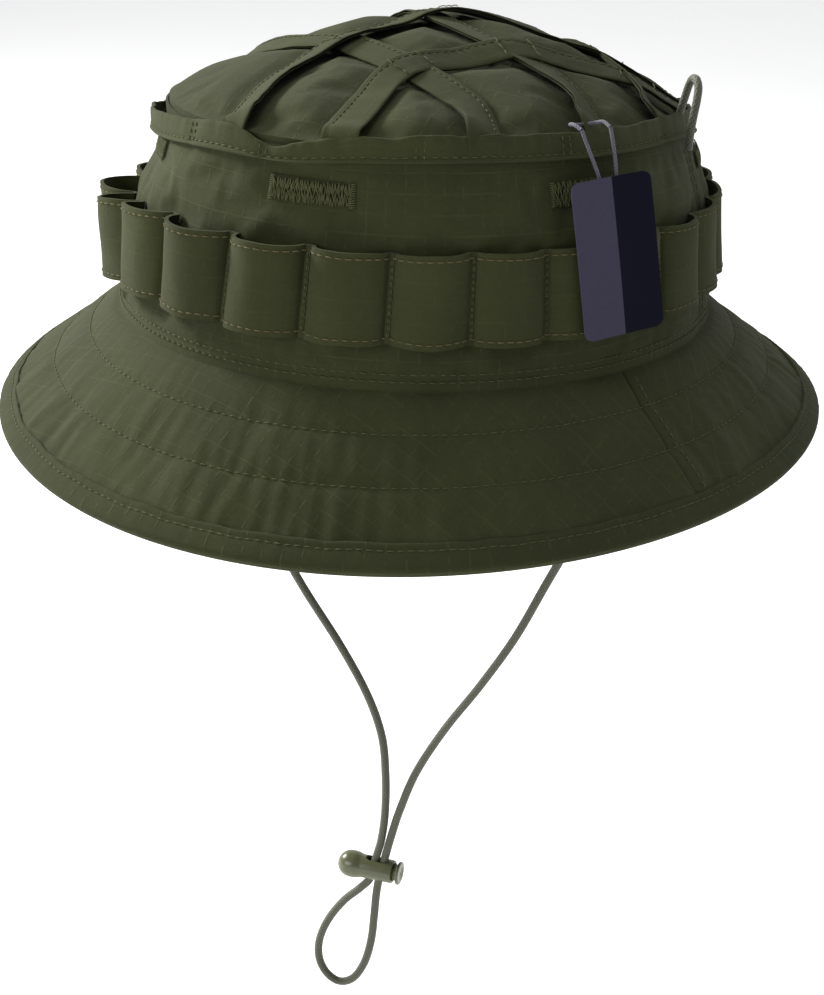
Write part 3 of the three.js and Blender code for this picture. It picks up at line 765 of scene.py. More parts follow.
# Where the foliage loops are sewn down: the loops are a little wider in front.
LOOP_ANGLES = EVEN_ANGLES - 3.5 * (1 - np.cos(np.radians(2 * (EVEN_ANGLES + 82.5))))


def nearest_loop(degrees):
    """Degrees to the nearest seam between two foliage loops."""
    return np.abs(away(degrees[..., None], LOOP_ANGLES)).min(-1)


def wall_sunk(degrees, height):
    """The wall has fallen in a little at the wearer's right, in millimetres."""
    deep = 3.0 * near(away(degrees, -163), 0, 26) * np.clip((height - 34) / 14, 0, 1)
    return deep * np.clip((61 - height) / 6, 0, 1)


# Each set of folds: its depth in mm, then its angle, length, width and seed.
WALL_FOLDS = [(0.9, 25, 26, 9, 1.3), (0.7, -35, 34, 11, 7.1), (0.45, 80, 20, 5, 3.7)]


def crown_panel(name, node, start, end):
    """Half of the side wall: pulled in where it is sewn, and in loose folds between."""
    z = np.concatenate([[-0.3, 0.4], np.linspace(1.3, 59, 44), [60.0, 61.0]])
    deg, height = grid(np.linspace(start, end, 230), z)
    u, v = around(deg) / MM, height
    ends = 1 - np.exp(-(np.minimum(deg - start, end - deg) / 4) ** 2)
    free = np.clip((height - 3) / 6, 0, 1) * np.clip((57 - height) / 6, 0, 1)
    relief = sum(depth * folds(u, v, *fold) for depth, *fold in WALL_FOLDS)
    behind = near(height, LOOP_MIDDLE, 13) * near(nearest_loop(deg), 0, 2.2)
    relief = relief * free * ends - 0.5 * behind - 0.35 * (1 - ends)
    relief -= 0.25 * near(height, 0.2, 0.8) + 0.12 * near(height, 3.2, 0.7)
    beside = np.max([near(away(deg, at), 0, 9.5) for at in VENTS], axis=0)
    patch = beside * near(height, VENT_Z, 6)
    relief = relief * (1 - patch) - 0.4 * patch
    sunk = wall_sunk(deg, height)
    points = wall_point(deg, height, relief - sunk)
    sewn = (height < 4.2) | (height > 56) | (ends < 0.05) | (patch > 0.45)
    sewn |= (nearest_loop(deg) < 0.6) & (height > LOOP_Z0) & (height < LOOP_Z1)
    points = let_settle(points, sewn.astype(float), grow=0.009, pressure=0.1)
    out = wall_out(deg)
    stands = ((points - wall_point(deg, height, 0)) * out).sum(-1) / MM
    points += out * ((np.clip(stands, -2.2 - sunk, 1.3 - sunk) - stands) * MM)[..., None]
    uv = np.stack([u, v], -1) * MM
    panel = shell(name, points, uv, CLOTH, material=MATERIALS["cloth"])
    settle(panel, "hat", "cloth", node)


# ------------------------------------------------------------------ straps over the tip
STRAP_WIDTH = 10.5
# For each strap, how high it lies at a crossing and its line in plan, in millimetres.
STRAPS = {
    "strap_upper_outer": (2.4, [
        (-27, -78), (-28, -66), (-28, -52), (-25, -36), (-18, -18), (-8, 2), (8, 22), (30, 33),
        (52, 34), (70, 31)]),
    "strap_upper_inner": (2.4, [
        (5, -82), (5, -66), (5, -52), (8, -42), (15, -31), (27, -15), (39, -3), (50, 7),
        (61, 13), (72, 14)]),
    "strap_lower_front": (0.9, [
        (-71, 27), (-54, 2), (-37, -12), (-23, -18), (-7, -29), (7, -39), (23, -50), (33, -58),
        (37, -65)]),
    "strap_lower_middle": (0.9, [
        (-50, 70), (-28, 44), (-8, 18), (3, 6), (18, -4), (33, -12), (43, -17), (52, -24),
        (58, -33), (61, -41)]),
    "strap_lower_rear": (0.9, [
        (8, 97), (24, 72), (38, 48), (50, 30), (60, 15), (67, 3), (71, -7)]),
}
STRAP_LINES = {name: spline([(x, y, 0) for x, y in plan], 90)[:, :2]
               for name, (_, plan) in STRAPS.items()}


def crossings():
    """Where an upper strap lies over a lower one: the upper's name and the point in plan."""
    found = []
    for upper in [n for n in STRAPS if "upper" in n]:
        for lower in [n for n in STRAPS if "lower" in n]:
            a, b = STRAP_LINES[upper], STRAP_LINES[lower]
            gap = np.linalg.norm(a[:, None] - b[None], axis=2)
            i, j = np.unravel_index(gap.argmin(), gap.shape)
            if gap[i, j] < 4:
                found.append((upper, (a[i] + b[j]) / 2))
    return found


CROSSINGS = crossings()


def strap_distance(x, y):
    """Distance in plan from the nearest strap's centre line."""
    here = np.stack([x, y], -1)[..., None, :]
    return np.min([np.linalg.norm(here - line[::2], axis=-1).min(-1)
                   for line in STRAP_LINES.values()], axis=0)


def crossing_distance(x, y):
    here = np.stack([x, y], -1)
    return np.min([np.linalg.norm(here - spot, axis=-1) for _, spot in CROSSINGS], axis=0)


TIP_SKIRT = 0.945             # where the tip's cloth turns down, as a share of its radius
TIP_FOLDS = [(1.1, 40, 42, 10, 2.2), (0.9, -50, 46, 12, 8.4), (0.4, 75, 24, 5, 5.9)]


def round_grid(size):
    """A square grid of points spread evenly over the unit disk."""
    line = np.linspace(-1, 1, size)
    a, b = grid(line, line)
    first = np.abs(a) > np.abs(b)
    radius = np.where(first, a, b)
    turn = np.where(first, math.pi / 4 * b / a, math.pi / 2 - math.pi / 4 * a / b)
    return radius * np.cos(turn), radius * np.sin(turn)


def make_tip():
    """The domed top: puffed up between the straps and held down under them."""
    px, py = round_grid(120)      # an even number, so that no point has a zero coordinate
    rho = np.hypot(px, py)
    share = np.minimum(1, rho / TIP_SKIRT)
    half_a, half_b, lean = crown_ellipse(TIP_SHOULDER)
    rim_x, rim_y = half_a * px / rho, half_b * py / rho + lean
    x = TIP_APEX[0] + (rim_x - TIP_APEX[0]) * share
    y = TIP_APEX[1] + (rim_y - TIP_APEX[1]) * share
    skirt = np.clip((rho - TIP_SKIRT) / (1 - TIP_SKIRT), 0, 1)
    base = dome(share, rim_y) - 1.5 * near(rho, 0.925, 0.07)
    gap = strap_distance(x, y)
    free = np.clip((TIP_SKIRT - rho) / 0.10, 0, 1)
    open_cell = np.clip((gap - 3) / 13, 0, 1) * (1 - 0.8 * np.clip((-25 - x) / 30, 0, 1))
    relief = 3.0 * open_cell - 0.7
    for depth, *fold in TIP_FOLDS:
        relief += depth * folds(x, y, *fold) * (0.3 + open_cell)
    points = np.stack([x, y, base - 4.2 * skirt + relief * free], -1) * MM
    tied = np.clip(1.2 - crossing_distance(x, y) / 5, 0, 1) ** 2
    sewn = np.maximum((rho > 0.93).astype(float), tied)
    sewn = np.maximum(sewn, 0.25 * near(gap, 0, 3.0))
    points = let_settle(points, sewn, grow=0.012, pressure=0.12)
    over = points[..., 2] / MM - base
    roof = -0.3 + np.minimum(0.6 + 2.6 * open_cell, 0.36 * np.maximum(0, gap - 4.8))
    over = np.where(rho < TIP_SKIRT, np.clip(over, -5, roof), over)
    points[..., 2] = (base + over) * MM
    uv = np.stack([half_a * px / TIP_SKIRT, half_b * py / TIP_SKIRT], -1) * MM
    tip = shell("tip_cloth", points, uv, CLOTH, material=MATERIALS["cloth"])
    settle(tip, "hat", "cloth", "crown_tip")


def strap_route(name):
    """Centre line of a strap in metres, its way up and its way to the front edge."""
    lift, _ = STRAPS[name]
    x, y = STRAP_LINES[name].T
    z = tip_height(x, y) + 1.1 + (lift - 0.6) * near(crossing_distance(x, y), 0, 11)
    centre = np.stack([x, y, z], 1)
    half_a, half_b, lean = crown_ellipse(TIP_SHOULDER)
    ends = []
    for row in (0, -1):
        out = unit(np.array([x[row] / half_a ** 2, (y[row] - lean) / half_b ** 2]))
        turn = math.atan2((y[row] - lean) / half_b, x[row] / half_a)
        rim = np.array([half_a * math.cos(turn), half_b * math.sin(turn) + lean])
        sunk = sag(rim[1], EDGE_Z)
        ends.append([np.append(rim + out * far, z - sunk) for far, z in (
            (-1.0, TIP_SHOULDER + 1.8), (0.5, TIP_SHOULDER - 1.8), (0.9, EDGE_Z - 0.5))])
    points = np.vstack([ends[0][::-1], centre[2:-2:5], ends[1]])
    centre = spline(points, 130) * MM
    tangent = unit(np.gradient(centre, axis=0))
    out = centre / MM - [0, lean, -25]
    up = unit(out * [1 / half_a ** 2, 1 / half_b ** 2, 1 / 105 ** 2])
    front = unit(np.cross(tangent, up))
    up = np.cross(front, tangent)
    return centre, up, front


# Across a strap, rear fold to open front edge: x as a share of its width, height in mm.
STRAP_SECTION = np.array([
    (-0.5, 0.0), (-0.494, 0.34), (-0.46, 0.5), (-0.40, 0.5), (-0.335, 0.36), (-0.27, 0.52),
    (-0.1, 0.6), (0.1, 0.62), (0.3, 0.66), (0.42, 0.68), (0.475, 0.6), (0.5, 0.38),
    (0.485, 0.2), (0.42, 0.16), (0.3, 0.06), (0.42, -0.08), (0.455, -0.14), (0.47, -0.3),
    (0.45, -0.48), (0.3, -0.5), (0.0, -0.5), (-0.3, -0.5), (-0.45, -0.5), (-0.494, -0.34),
])


def make_strap(name, threads):
    """A two-ply tape along its route; its width, tilt and upper ply waver a little."""
    centre, up, front = strap_route(name)
    s = length_along(centre)[:, None]
    seed = float(sum(map(ord, name)) % 17)
    tilt = 0.10 + 0.10 * noise_at(s * 22, seed, 0)
    front, up = (front * np.cos(tilt) + up * np.sin(tilt),
                 up * np.cos(tilt) - front * np.sin(tilt))
    width = STRAP_WIDTH * (1 + 0.05 * noise_at(s * 30, seed, 4))
    centre = centre + up * (0.25 * MM * noise_at(s * 70, seed, 9))
    x, h = STRAP_SECTION[:, 0] * width, STRAP_SECTION[:, 1]
    h = h + 0.22 * noise_at(s * 160, STRAP_SECTION[:, 0] * 2.5, seed) * (h > 0.1)
    rings = centre[:, None] + front[:, None] * (x * MM)[..., None]
    rings = rings + up[:, None] * (h * MM)[..., None]
    uv = uv_grid(s, np.append(STRAP_SECTION[:, 0], -0.5) * STRAP_WIDTH * MM)
    strap = loft(name + "_tape", rings, uv, material=MATERIALS["trim"])
    settle(strap, "hat", "trim", name)
    inner = slice(8, -8)
    line = centre + front * (-0.335 * width * MM) + up * (0.42 * MM)
    threads.row(line[inner], up[inner])
    return centre, up, front


def make_straps(threads):
    """The open net of straps, with a zig-zag bar tack at each side of every crossing."""
    routes = {name: make_strap(name, threads) for name in STRAPS}
    for upper, spot in CROSSINGS:
        centre, up, front = routes[upper]
        i = np.linalg.norm(centre[:, :2] / MM - spot, axis=1).argmin()
        along = unit(centre[i + 1] - centre[i - 1])
        for side in (-1, 1):
            middle = centre[i] + along * (side * 5.2 * MM) + up[i] * (0.62 * MM)
            ends = np.array([-0.42, -0.1, 0.22, 0.46]) * STRAP_WIDTH * MM
            slant = along * (side * 0.6 * MM)
            tack = np.array([middle + front[i] * e + slant * (k % 2) for k, e in enumerate(ends)])
            threads.bars(tack[:-1], tack[1:], np.repeat(up[i][None], 3, 0), lift=PROUD)


# ------------------------------------------------------------------ top band
BAND_TACKS = [-152, -122.8, -102, -70.4, -41.3, -12.6, 17, 47, 77, 107, 137, 167]
# Where the band's foot and top run: it sags and folds over at the wearer's right.
# Each row is an angle and the two heights there.
BAND_LINE = np.array([
    (-180, 53.6, 57.0), (-160, 52.2, 58.2), (-148, 52.7, 59.4), (-136, 53.8, 60.8),
    (-128, 54.9, 62.0), (-118, 56.0, 63.4), (-108, 56.4, 63.6), (-101, 56.4, 59.4),
    (-94, 56.8, 62.4), (-88, 57.9, 64.4), (-80, 59.0, 65.6), (-64, 59.4, 66.3),
    (-40, 58.9, 66.0), (-10, 59.4, 66.3), (30, 58.6, 66.0), (90, 58.0, 65.8),
    (150, 57.2, 64.4), (180, 54.4, 57.2),
])


def band_line(degrees):
    """Height of the band's foot and of its top at an angle, in millimetres."""
    turned = away(degrees, 0)
    nearby = [away(turned + step, 0) for step in np.linspace(-3.5, 3.5, 9)]
    angles, *heights = BAND_LINE.T
    foot, top = (np.mean([np.interp(a, angles, h) for a in nearby], 0) for h in heights)
    t = np.radians(turned)
    ride = 0.25 * np.sin(3 * t + 0.6) + 0.2 * np.sin(7 * t + 2.1)
    return foot + ride, top + ride


def band_out(degrees):
    """How far the band stands off the wall: less at its bar tacks."""
    base = 0.55 + 0.2 * np.sin(np.radians(9 * degrees))
    tacks = sum(near(away(degrees, at), 0, 1.5) for at in BAND_TACKS)
    return base - 0.45 * tacks


def band_flare(degrees):
    """How far the band's top stands out where it sags, in millimetres."""
    return 2.3 * near(away(degrees, -147), 0, 16)


# Up the band from its hemmed foot: height and how far out, in mm, on a band this high.
BAND_HEIGHT = 9.8
BAND_SECTION = np.array([
    (0.2, 0.0), (0.0, 0.5), (0.1, 1.05), (0.6, 1.35), (1.2, 1.25), (1.75, 0.8), (2.2, 0.7),
    (2.8, 0.86), (4.5, 0.95), (6.5, 0.95), (8.4, 0.95), (9.3, 0.9), (9.75, 0.6), (9.8, 0.2),
    (9.6, -0.1), (7.0, -0.1), (4.0, -0.1), (1.5, -0.1),
])
BAND_HEM = 6                  # the section's point that the foot's stitching runs along


def make_top_band(threads):
    """The hemmed strip round the top: stitched along its foot and bar-tacked up its height."""
    degrees = whole_turn(600)
    deg = degrees[:, None]
    foot, top = band_line(deg)
    upper, out = BAND_SECTION[:, 0] / BAND_HEIGHT, BAND_SECTION[:, 1]
    crease, sway = ring_noise(deg, 22, 0), ring_noise(deg, 9, 4)
    lean = 0.9 * (crease * 0.6 + sway) * upper ** 1.5 + band_flare(deg) * upper
    height = foot + (top - foot) * upper + (0.8 * sway + 0.35 * crease) * upper
    rings = wall_point(deg, height, out + band_out(deg) + lean)
    u = around(np.append(degrees, 180.0))
    v = length_along(BAND_SECTION) * MM
    uv = uv_grid(u, np.append(v, v[-1] + MM))
    band = loft("top_band_tape", rings, uv, ring=True, material=MATERIALS["trim"])
    settle(band, "hat", "trim", "top_band")
    threads.row(closed(rings[:, BAND_HEM]), closed(wall_out(degrees)))
    share = np.linspace(0.12, 0.93, 10)
    for at in BAND_TACKS:
        for side in (-0.8, 0.8):
            row = np.full_like(share, at + side)
            foot, top = band_line(row)
            out = 0.95 + band_out(row) + band_flare(row) * share
            line = wall_point(row, foot + (top - foot) * share, out)
            threads.row(line, wall_out(row), pitch=1.7 * MM, length=1.3 * MM)


# ------------------------------------------------------------------ foliage loops
def loop_bulge(degrees):
    """How far a loop stands out: most at the wearer's right, behind."""
    gape = np.maximum(0, np.cos(np.radians(degrees + 155)))
    return 3.7 + 4.4 * gape ** 2


def make_foliage_strip(threads, hem_threads):
    """One strip sewn down at every loop's ends; it replaces the CAD's separate loops."""
    marks = np.append(LOOP_ANGLES, LOOP_ANGLES[0] + 360)
    z = np.linspace(LOOP_Z0, LOOP_Z1, 17)
    s = np.concatenate([np.linspace(a, b, n)[:-1]
                        for a, b, n in ((0, 0.12, 7), (0.12, 0.88, 15), (0.88, 1, 7))])
    degrees, lift, gape = [], [], []
    for k, (start, end) in enumerate(zip(marks, marks[1:])):
        middle = (start + end) / 2
        skew = 0.62 + 0.55 * np.clip((middle + 125) / 90, 0, 1) if -190 < middle < 10 else 0.85
        body = np.clip((s - 0.04) / 0.92, 0, 1) ** skew
        rise = np.sin(math.pi * body) ** (0.55 + 0.1 * math.sin(k * 2.3))
        degrees += list(start + (end - start) * s)
        full = 1 + 0.16 * math.sin(k * 1.7 + 0.5)
        lift += list(rise * loop_bulge(middle) * full)
        gape += [0.08 + 0.25 * max(0, math.cos(math.radians(middle + 150)))] * len(s)
    deg, lift, gape = (np.array(values)[:, None] for values in (degrees, lift, gape))
    level = (z - LOOP_MIDDLE) / LOOP_HALF
    wave = ring_noise(deg, 9, level * 0.9)
    out = 1.15 + lift * (1 + gape * level) + 0.55 * wave * np.clip(lift / 3, 0.15, 1)
    edge = 1 - np.abs(level)
    out = out + 0.22 * near(edge, 0.05, 0.06) - 0.18 * near(edge, 0.17, 0.05)
    tuck = 0.15 * np.clip(lift / 6, 0, 1) * level ** 2 * np.sign(level)
    drop = np.clip((-124 - away(deg, 0)) / 38, 0, 1) + np.clip((away(deg, 0) - 125) / 38, 0, 1)
    drop = drop * drop * (3 - 2 * drop)     # how far the strip droops, behind
    height = LOOP_MIDDLE + (z - LOOP_MIDDLE) * (1 - 0.08 * drop) - 5.5 * drop
    outer = wall_point(deg, height + tuck + 0.5 * wave * level, out)
    uv = uv_grid(length_along(closed(outer[:, len(z) // 2])), z * MM)
    strip = shell("foliage_strip", outer, uv, 1.1 * MM, wrap=True, material=MATERIALS["trim"])
    loops = [f"foliage_loop_{k:02d}" for k in range(1, 25)]
    settle(strip, "hat", "cloth", *loops)
    outward = normals_of(outer, True)
    for row in (1, -2):
        hem_threads.row(closed(outer[:, row]), closed(outward[:, row]), lift=0.16 * MM)
    for start in range(0, len(outer), len(s)):
        for j in (start, start + 1):
            threads.row(outer[j, 1:-1], outward[j, 1:-1], pitch=1.8 * MM, length=1.35 * MM,
                        lift=0.16 * MM)


# ------------------------------------------------------------------ vents
VENT_HALF = 12.4              # half a vent's length, in mm
# Three rows of zig-zag on each vent: foot and top in mm from its middle, and the pitch.
VENT_ROWS = [(-3.0, -0.2, 0.8), (0.2, 3.0, 0.8), (-1.7, 1.7, 1.5)]


def on_wall(degrees, z, out):
    return wall_point(degrees, z, out - wall_sunk(degrees, z))


def make_vents():
    """Long embroidered slits: rows of loose zig-zag, bars across the ends, cloth behind."""
    threads = Threads()
    scale = [(around(at + 1) - around(at)) / MM for at in VENTS]     # mm for one degree
    for n, (at, per_degree) in enumerate(zip(VENTS, scale)):
        for row, (low, high, pitch) in enumerate(VENT_ROWS):
            x = np.arange(-VENT_HALF, VENT_HALF, pitch)
            stray = 0.9 * noise_at(x * 1.7, n * 3.3, row * 5.0 + np.arange(4)[:, None])
            bottom = on_wall(at + (x + stray[0]) / per_degree, VENT_Z + low + stray[1], 0.4)
            top = on_wall(at + (x + 0.4 + stray[2]) / per_degree, VENT_Z + high + stray[3], 0.4)
            up = wall_out(at + x / per_degree)
            over = 0.14 * row
            threads.bars(bottom, top, up, radius=0.16 * MM, lift=(0.12 + over) * MM)
            threads.bars(top[:-1], bottom[1:], up[1:], radius=0.16 * MM, lift=(0.2 + over) * MM)
        for end in (-VENT_HALF, VENT_HALF):
            z = VENT_Z + np.arange(-3.0, 3.1, 0.6)
            left = on_wall(at + (end - 0.8) / per_degree, z, 0.45)
            right = on_wall(at + (end + 0.8) / per_degree, z + 0.2, 0.45)
            threads.bars(left, right, np.repeat(wall_out(at)[None], len(z), 0), lift=0.3 * MM)
    settle(threads.build("vent_stitching", MATERIALS["thread"]), "hat", "trim")
    x, z = grid(np.linspace(-13, 13, 40), np.linspace(-3.4, 3.4, 12))
    rim = np.clip(np.minimum(13 - np.abs(x), 3.4 - np.abs(z)) / 0.8, 0, 1)
    slot = near(z, 0, 0.4) * np.clip((11 - np.abs(x)) / 1.5, 0, 1)
    out = -0.15 + 0.4 * rim - 0.4 * slot
    for n, (at, per_degree) in enumerate(zip(VENTS, scale)):
        points = on_wall(at + x / per_degree, VENT_Z + z, out)
        patch = shell(f"vent_patch_{n + 1}", points, np.stack([x, z], -1) * MM, 0.5 * MM,
                      material=MATERIALS["vent"])
        settle(patch, "hat", "trim")


# ------------------------------------------------------------------ brim
BRIM_ROWS = [0.25, 0.55]      # rings of topstitching, from crown (0) to edge (1)


def brim_relief(deg, t, face):
    """How far a ply stands up between its rows, in folds that run outwards, in mm."""
    row_pull = sum(near(t, row, 0.03) for row in BRIM_ROWS)
    pillow = 0.35 * (1 - sum(near(t, row, 0.075) for row in BRIM_ROWS))
    radial = ring_noise(deg, 28, t * 2.2 + 5 * face)
    soft = ring_noise(deg, 28 * 0.28, t * 2.2 * 0.8 + 9 * face)
    small = ring_noise(deg, 28 * 2.3, t * 2.2 * 3 + 3 * face)
    outer_part = np.clip((t - 0.15) / 0.5, 0, 1)
    free = np.clip(t / 0.06, 0, 1) * np.clip((0.9 - t) / 0.06, 0, 1)
    relief = pillow - 0.32 * row_pull
    relief += (0.55 * radial + 0.9 * soft) * (0.35 + outer_part) * (1 - 0.45 * row_pull)
    by_rows = sum(near(t, row, 0.07) for row in BRIM_ROWS)
    relief += 0.16 * small * (0.4 + by_rows + near(t, 0.86, 0.08))
    seams = sum(near(away(deg, at), 0, 0.32) for at in (BRIM_SEAM, BRIM_SEAM + 180))
    ridge = sum(near(away(deg, at + 1.6), 0, 1.0) for at in (BRIM_SEAM, BRIM_SEAM + 180))
    return relief * free - 0.6 * seams * np.clip(t / 0.03, 0, 1) + 0.3 * ridge * free


def brim_face(deg, t, face, tuck=0.0):
    """The visible face of the upper ply (face 1) or of the lower (-1)."""
    relief = brim_relief(deg, t, face)
    return brim_point(deg, t, tuck - 0.9 * relief if face > 0 else BRIM_DEPTH + 0.7 * relief)


def brim_panel(name, node, start, end, face):
    """One half of a brim ply; the upper one tucks in at the crown's seam."""
    t = np.concatenate([np.linspace(1.0, 0.03, 44) * 0.965, [0.0, -0.022]])
    if face < 0:
        t = np.maximum(t, 0.05)[:-2]
    deg, t = grid(np.linspace(start, end, 330), t)
    outer = brim_face(deg, t, face, tuck=0.35 * near(t, 0, 0.02))
    uv = brim_cloth(deg, t, (start + end) / 2)
    if face < 0:
        outer, uv = outer[:, ::-1], uv[:, ::-1]
    panel = shell(name, outer, uv, 0.6 * MM, material=MATERIALS["cloth"])
    settle(panel, "hat", "cloth", node)


def make_brim(threads):
    """Two plies, each in two halves, over a stiff ring, with their topstitching."""
    gap = 0.015
    halves = {
        "front_right": (BRIM_SEAM - 180 + gap, BRIM_SEAM - gap),
        "back_left": (BRIM_SEAM + gap, BRIM_SEAM + 180 - gap),
    }
    for half, (start, end) in halves.items():
        brim_panel(f"brim_top_{half}", f"brim_upper_{half}", start, end, 1)
        brim_panel(f"brim_under_{half}", f"brim_lower_{half}", start, end, -1)
    degrees, shares = whole_turn(360), np.linspace(0.955, 0.05, 12)
    points = brim_point(*grid(degrees, shares), 1.08)
    uv = brim_cloth(*grid(np.append(degrees, 180), shares), 0)
    stiff = shell("interlining_felt", points, uv, 0.45 * MM, wrap=True,
                  material=MATERIALS["interlining"])
    settle(stiff, "hat", "interlining", "brim_interlining")
    ring = np.linspace(-180, 180, 721)
    for row in BRIM_ROWS:
        at = np.full_like(ring, row)
        for face in (1, -1):
            threads.row(brim_face(ring, at, face), face * brim_up(ring), lift=0.12 * MM)
    for seam in (BRIM_SEAM, BRIM_SEAM + 180):
        at = np.linspace(0.05, 0.85, 40)
        side = np.full_like(at, seam + 1.7)
        threads.row(brim_face(side, at, 1), brim_up(side))
    make_binding(threads)


def binding_section():
    """Round the brim's edge from the upper inner edge, as rows of two numbers.

    They are the share of the way across the tape, from its inner edge (0) to its fold (1),
    and how far the point lies below the brim's upper face, in mm.
    """
    over = [(0.0, -0.1), (0.0, -0.75), (0.03, -0.98), (0.10, -1.02), (0.2, -0.9), (0.27, -0.72),
            (0.34, -0.9), (0.5, -0.98), (0.68, -0.98), (0.8, -0.92)]
    fold = [(0.8 + 0.2 * math.sin(a), 1.3 - 2.22 * math.cos(a))
            for a in np.linspace(0.25, math.pi - 0.25, 9)]
    under = [(s, BRIM_DEPTH - d) for s, d in reversed(over)]
    inside = [(0.0, 2.6), (0.4, 2.64), (0.78, 2.5), (0.9, 1.9), (0.93, 1.3), (0.9, 0.7),
              (0.78, 0.1), (0.4, -0.04)]
    return np.array(over + fold + under + inside)


def make_binding(threads):
    across, down = binding_section().T
    degrees = whole_turn(600)
    deg = degrees[:, None]
    start = 0.855 + 0.012 * ring_noise(deg, 14, 2)
    t = start + (1.02 - start) * across
    swell = 0.18 * ring_noise(deg, 40, 7) * np.sign(down - BRIM_DEPTH / 2)
    rings = brim_point(deg, t, down + swell * ((down < -0.5) | (down > 3.1)))
    u = np.radians(np.append(degrees, 180)) * 125 * MM
    v = length_along(np.stack([across * 7, down], 1)) * MM
    uv = uv_grid(u, np.append(v, 0))
    tape = loft("edge_binding", rings, uv, ring=True, material=MATERIALS["binding"])
    settle(tape, "hat", "trim", "brim_binding")
    up = closed(brim_up(degrees))
    for row, way in ((5, 1), (-14, -1)):        # the groove near each inner edge
        threads.row(closed(rings[:, row]), up * way, lift=PROUD)


# ------------------------------------------------------------------ crown seams and inside
def make_crown(threads):
    crown_panel("crown_side_cloth_front", "crown_side_front", -179.9, -0.1)
    crown_panel("crown_side_cloth_back", "crown_side_back", 0.1, 179.9)
    ring = np.linspace(-180, 180, 721)
    for z in (2.4, 4.4):
        threads.row(wall_point(ring, z, 0.02), wall_out(ring), lift=PROUD)
    for seam in (0, 180):
        for side in (-1.2, 1.2):
            z = np.linspace(5, 56, 40)
            up = np.repeat(wall_out(seam)[None], len(z), 0)
            threads.row(wall_point(seam + side, z, 0.0), up, lift=PROUD)


def make_sweatband(threads):
    degrees = whole_turn(480)
    z = np.array([-1.0, -0.6, 0.4, 1.6, 2.4, 4, 7, 11, 15, 19, 23, 26, 28, 28.8, 29.4, 30])
    deg, height = grid(degrees, z)
    out = -2.15 - 0.6 * ring_noise(deg, 12, height * 0.05) * np.clip((height - 2) / 8, 0, 1)
    out += 0.16 * near(height, 1.6, 0.7) + 0.16 * near(height, 28, 0.7)
    points = wall_point(deg, height, np.minimum(out, -1.75))
    uv = uv_grid(around(np.append(degrees, 180.0)), z * MM)
    band = shell("sweatband_tape", points[:, ::-1], uv[:, ::-1], 0.75 * MM, wrap=True,
                 material=MATERIALS["lining"])
    settle(band, "hat", "lining", "sweatband")
    ring = np.linspace(-180, 180, 541)
    inward = -wall_out(ring)
    for level in (1.6, 28.0):
        threads.row(wall_point(ring, level, -2.05), inward, lift=PROUD)


def make_label(threads):
    """A blank label sewn to the sweatband at the back."""
    degrees = np.linspace(81.5, 98.5, 40)
    deg, height = grid(degrees, np.linspace(6.3, 23.7, 24))
    side = np.minimum(deg - 81.5, 98.5 - deg)
    curl = 0.18 * np.sin(np.radians(deg * 14)) * np.clip(side / 4, 0, 1)
    curl += 0.35 * near(side, 0, 1.2)
    fold = 0.2 * near(height, 6.3, 0.8) + 0.2 * near(height, 23.7, 0.8)
    points = wall_point(deg, height, -3.05 - curl - fold)
    uv = np.stack([around(deg), height * MM], -1)
    label = shell("care_label_satin", points[:, ::-1], uv[:, ::-1], 0.3 * MM,
                  material=MATERIALS["label"])
    settle(label, "hat", "label", "care_label")
    for level in (7.6, 22.4):
        threads.row(wall_point(degrees, level, -3.1), -wall_out(degrees), pitch=2.0 * MM,
                    length=1.4 * MM, lift=0.2 * MM)


TAB_X, TAB_Y = 84.1, -4       # where the chin cord's ends are sewn in, on either side
# Up a tab: height, and how much of its width across the wall and along it is left.
TAB_LEVELS = np.array([
    (-1.9, 0.55, 0.97), (-1.75, 0.8, 0.98), (-1.3, 0.97, 1.0), (-0.4, 1.0, 1.0),
    (0.8, 1.0, 1.0), (1.3, 0.94, 0.99), (1.8, 1.0, 1.0), (3.5, 1.0, 1.0), (5.2, 0.98, 1.0),
    (6.8, 0.96, 0.99), (7.6, 0.9, 0.98), (7.95, 0.75, 0.97), (8.1, 0.5, 0.95),
])


def make_tabs():
    """Each tab is a folded tape; the chin cord's end sits in its fold."""
    corner = np.radians(np.linspace(0, 360, 33)[:-1])
    round_x = np.sign(np.cos(corner)) * np.abs(np.cos(corner)) ** 0.5
    round_y = np.sign(np.sin(corner)) * np.abs(np.sin(corner)) ** 0.35
    threads = Threads()
    z, wide, deep = TAB_LEVELS.T[..., None]
    for name, side in (("cord_tab_left", 1), ("cord_tab_right", -1)):
        x = side * TAB_X + 1.7 * wide * round_x
        y = TAB_Y + 5.0 * deep * round_y
        rings = np.stack(np.broadcast_arrays(x, y, z), -1) * MM
        uv = uv_grid(z * MM, np.linspace(0, 26, len(corner) + 1) * MM)[..., ::-1]
        tab = loft(name + "_tape", rings, uv, material=MATERIALS["trim"])
        settle(tab, "hat", "lining", name)
        for face in (-1, 1):
            way = np.repeat([[float(face), 0.0, 0.0]], 8, 0)
            for level in (2.4, 5.0):
                line = [(side * TAB_X + face * 1.66, TAB_Y + across, level)
                        for across in np.linspace(-4.2, 4.2, 8)]
                threads.row(np.array(line) * MM, way, pitch=1.3 * MM, length=1.0 * MM)
    settle(threads.build("tab_stitching", MATERIALS["thread"]), "hat", "trim")


# ------------------------------------------------------------------ cord lock
LOCK_Y, LOCK_Z = -9.0, -202.6
SPRING_FROM, SPRING_TO, SPRING_WIRE, SPRING_RADIUS, SPRING_COILS = -13.65, -9.35, 0.6, 2.1, 4
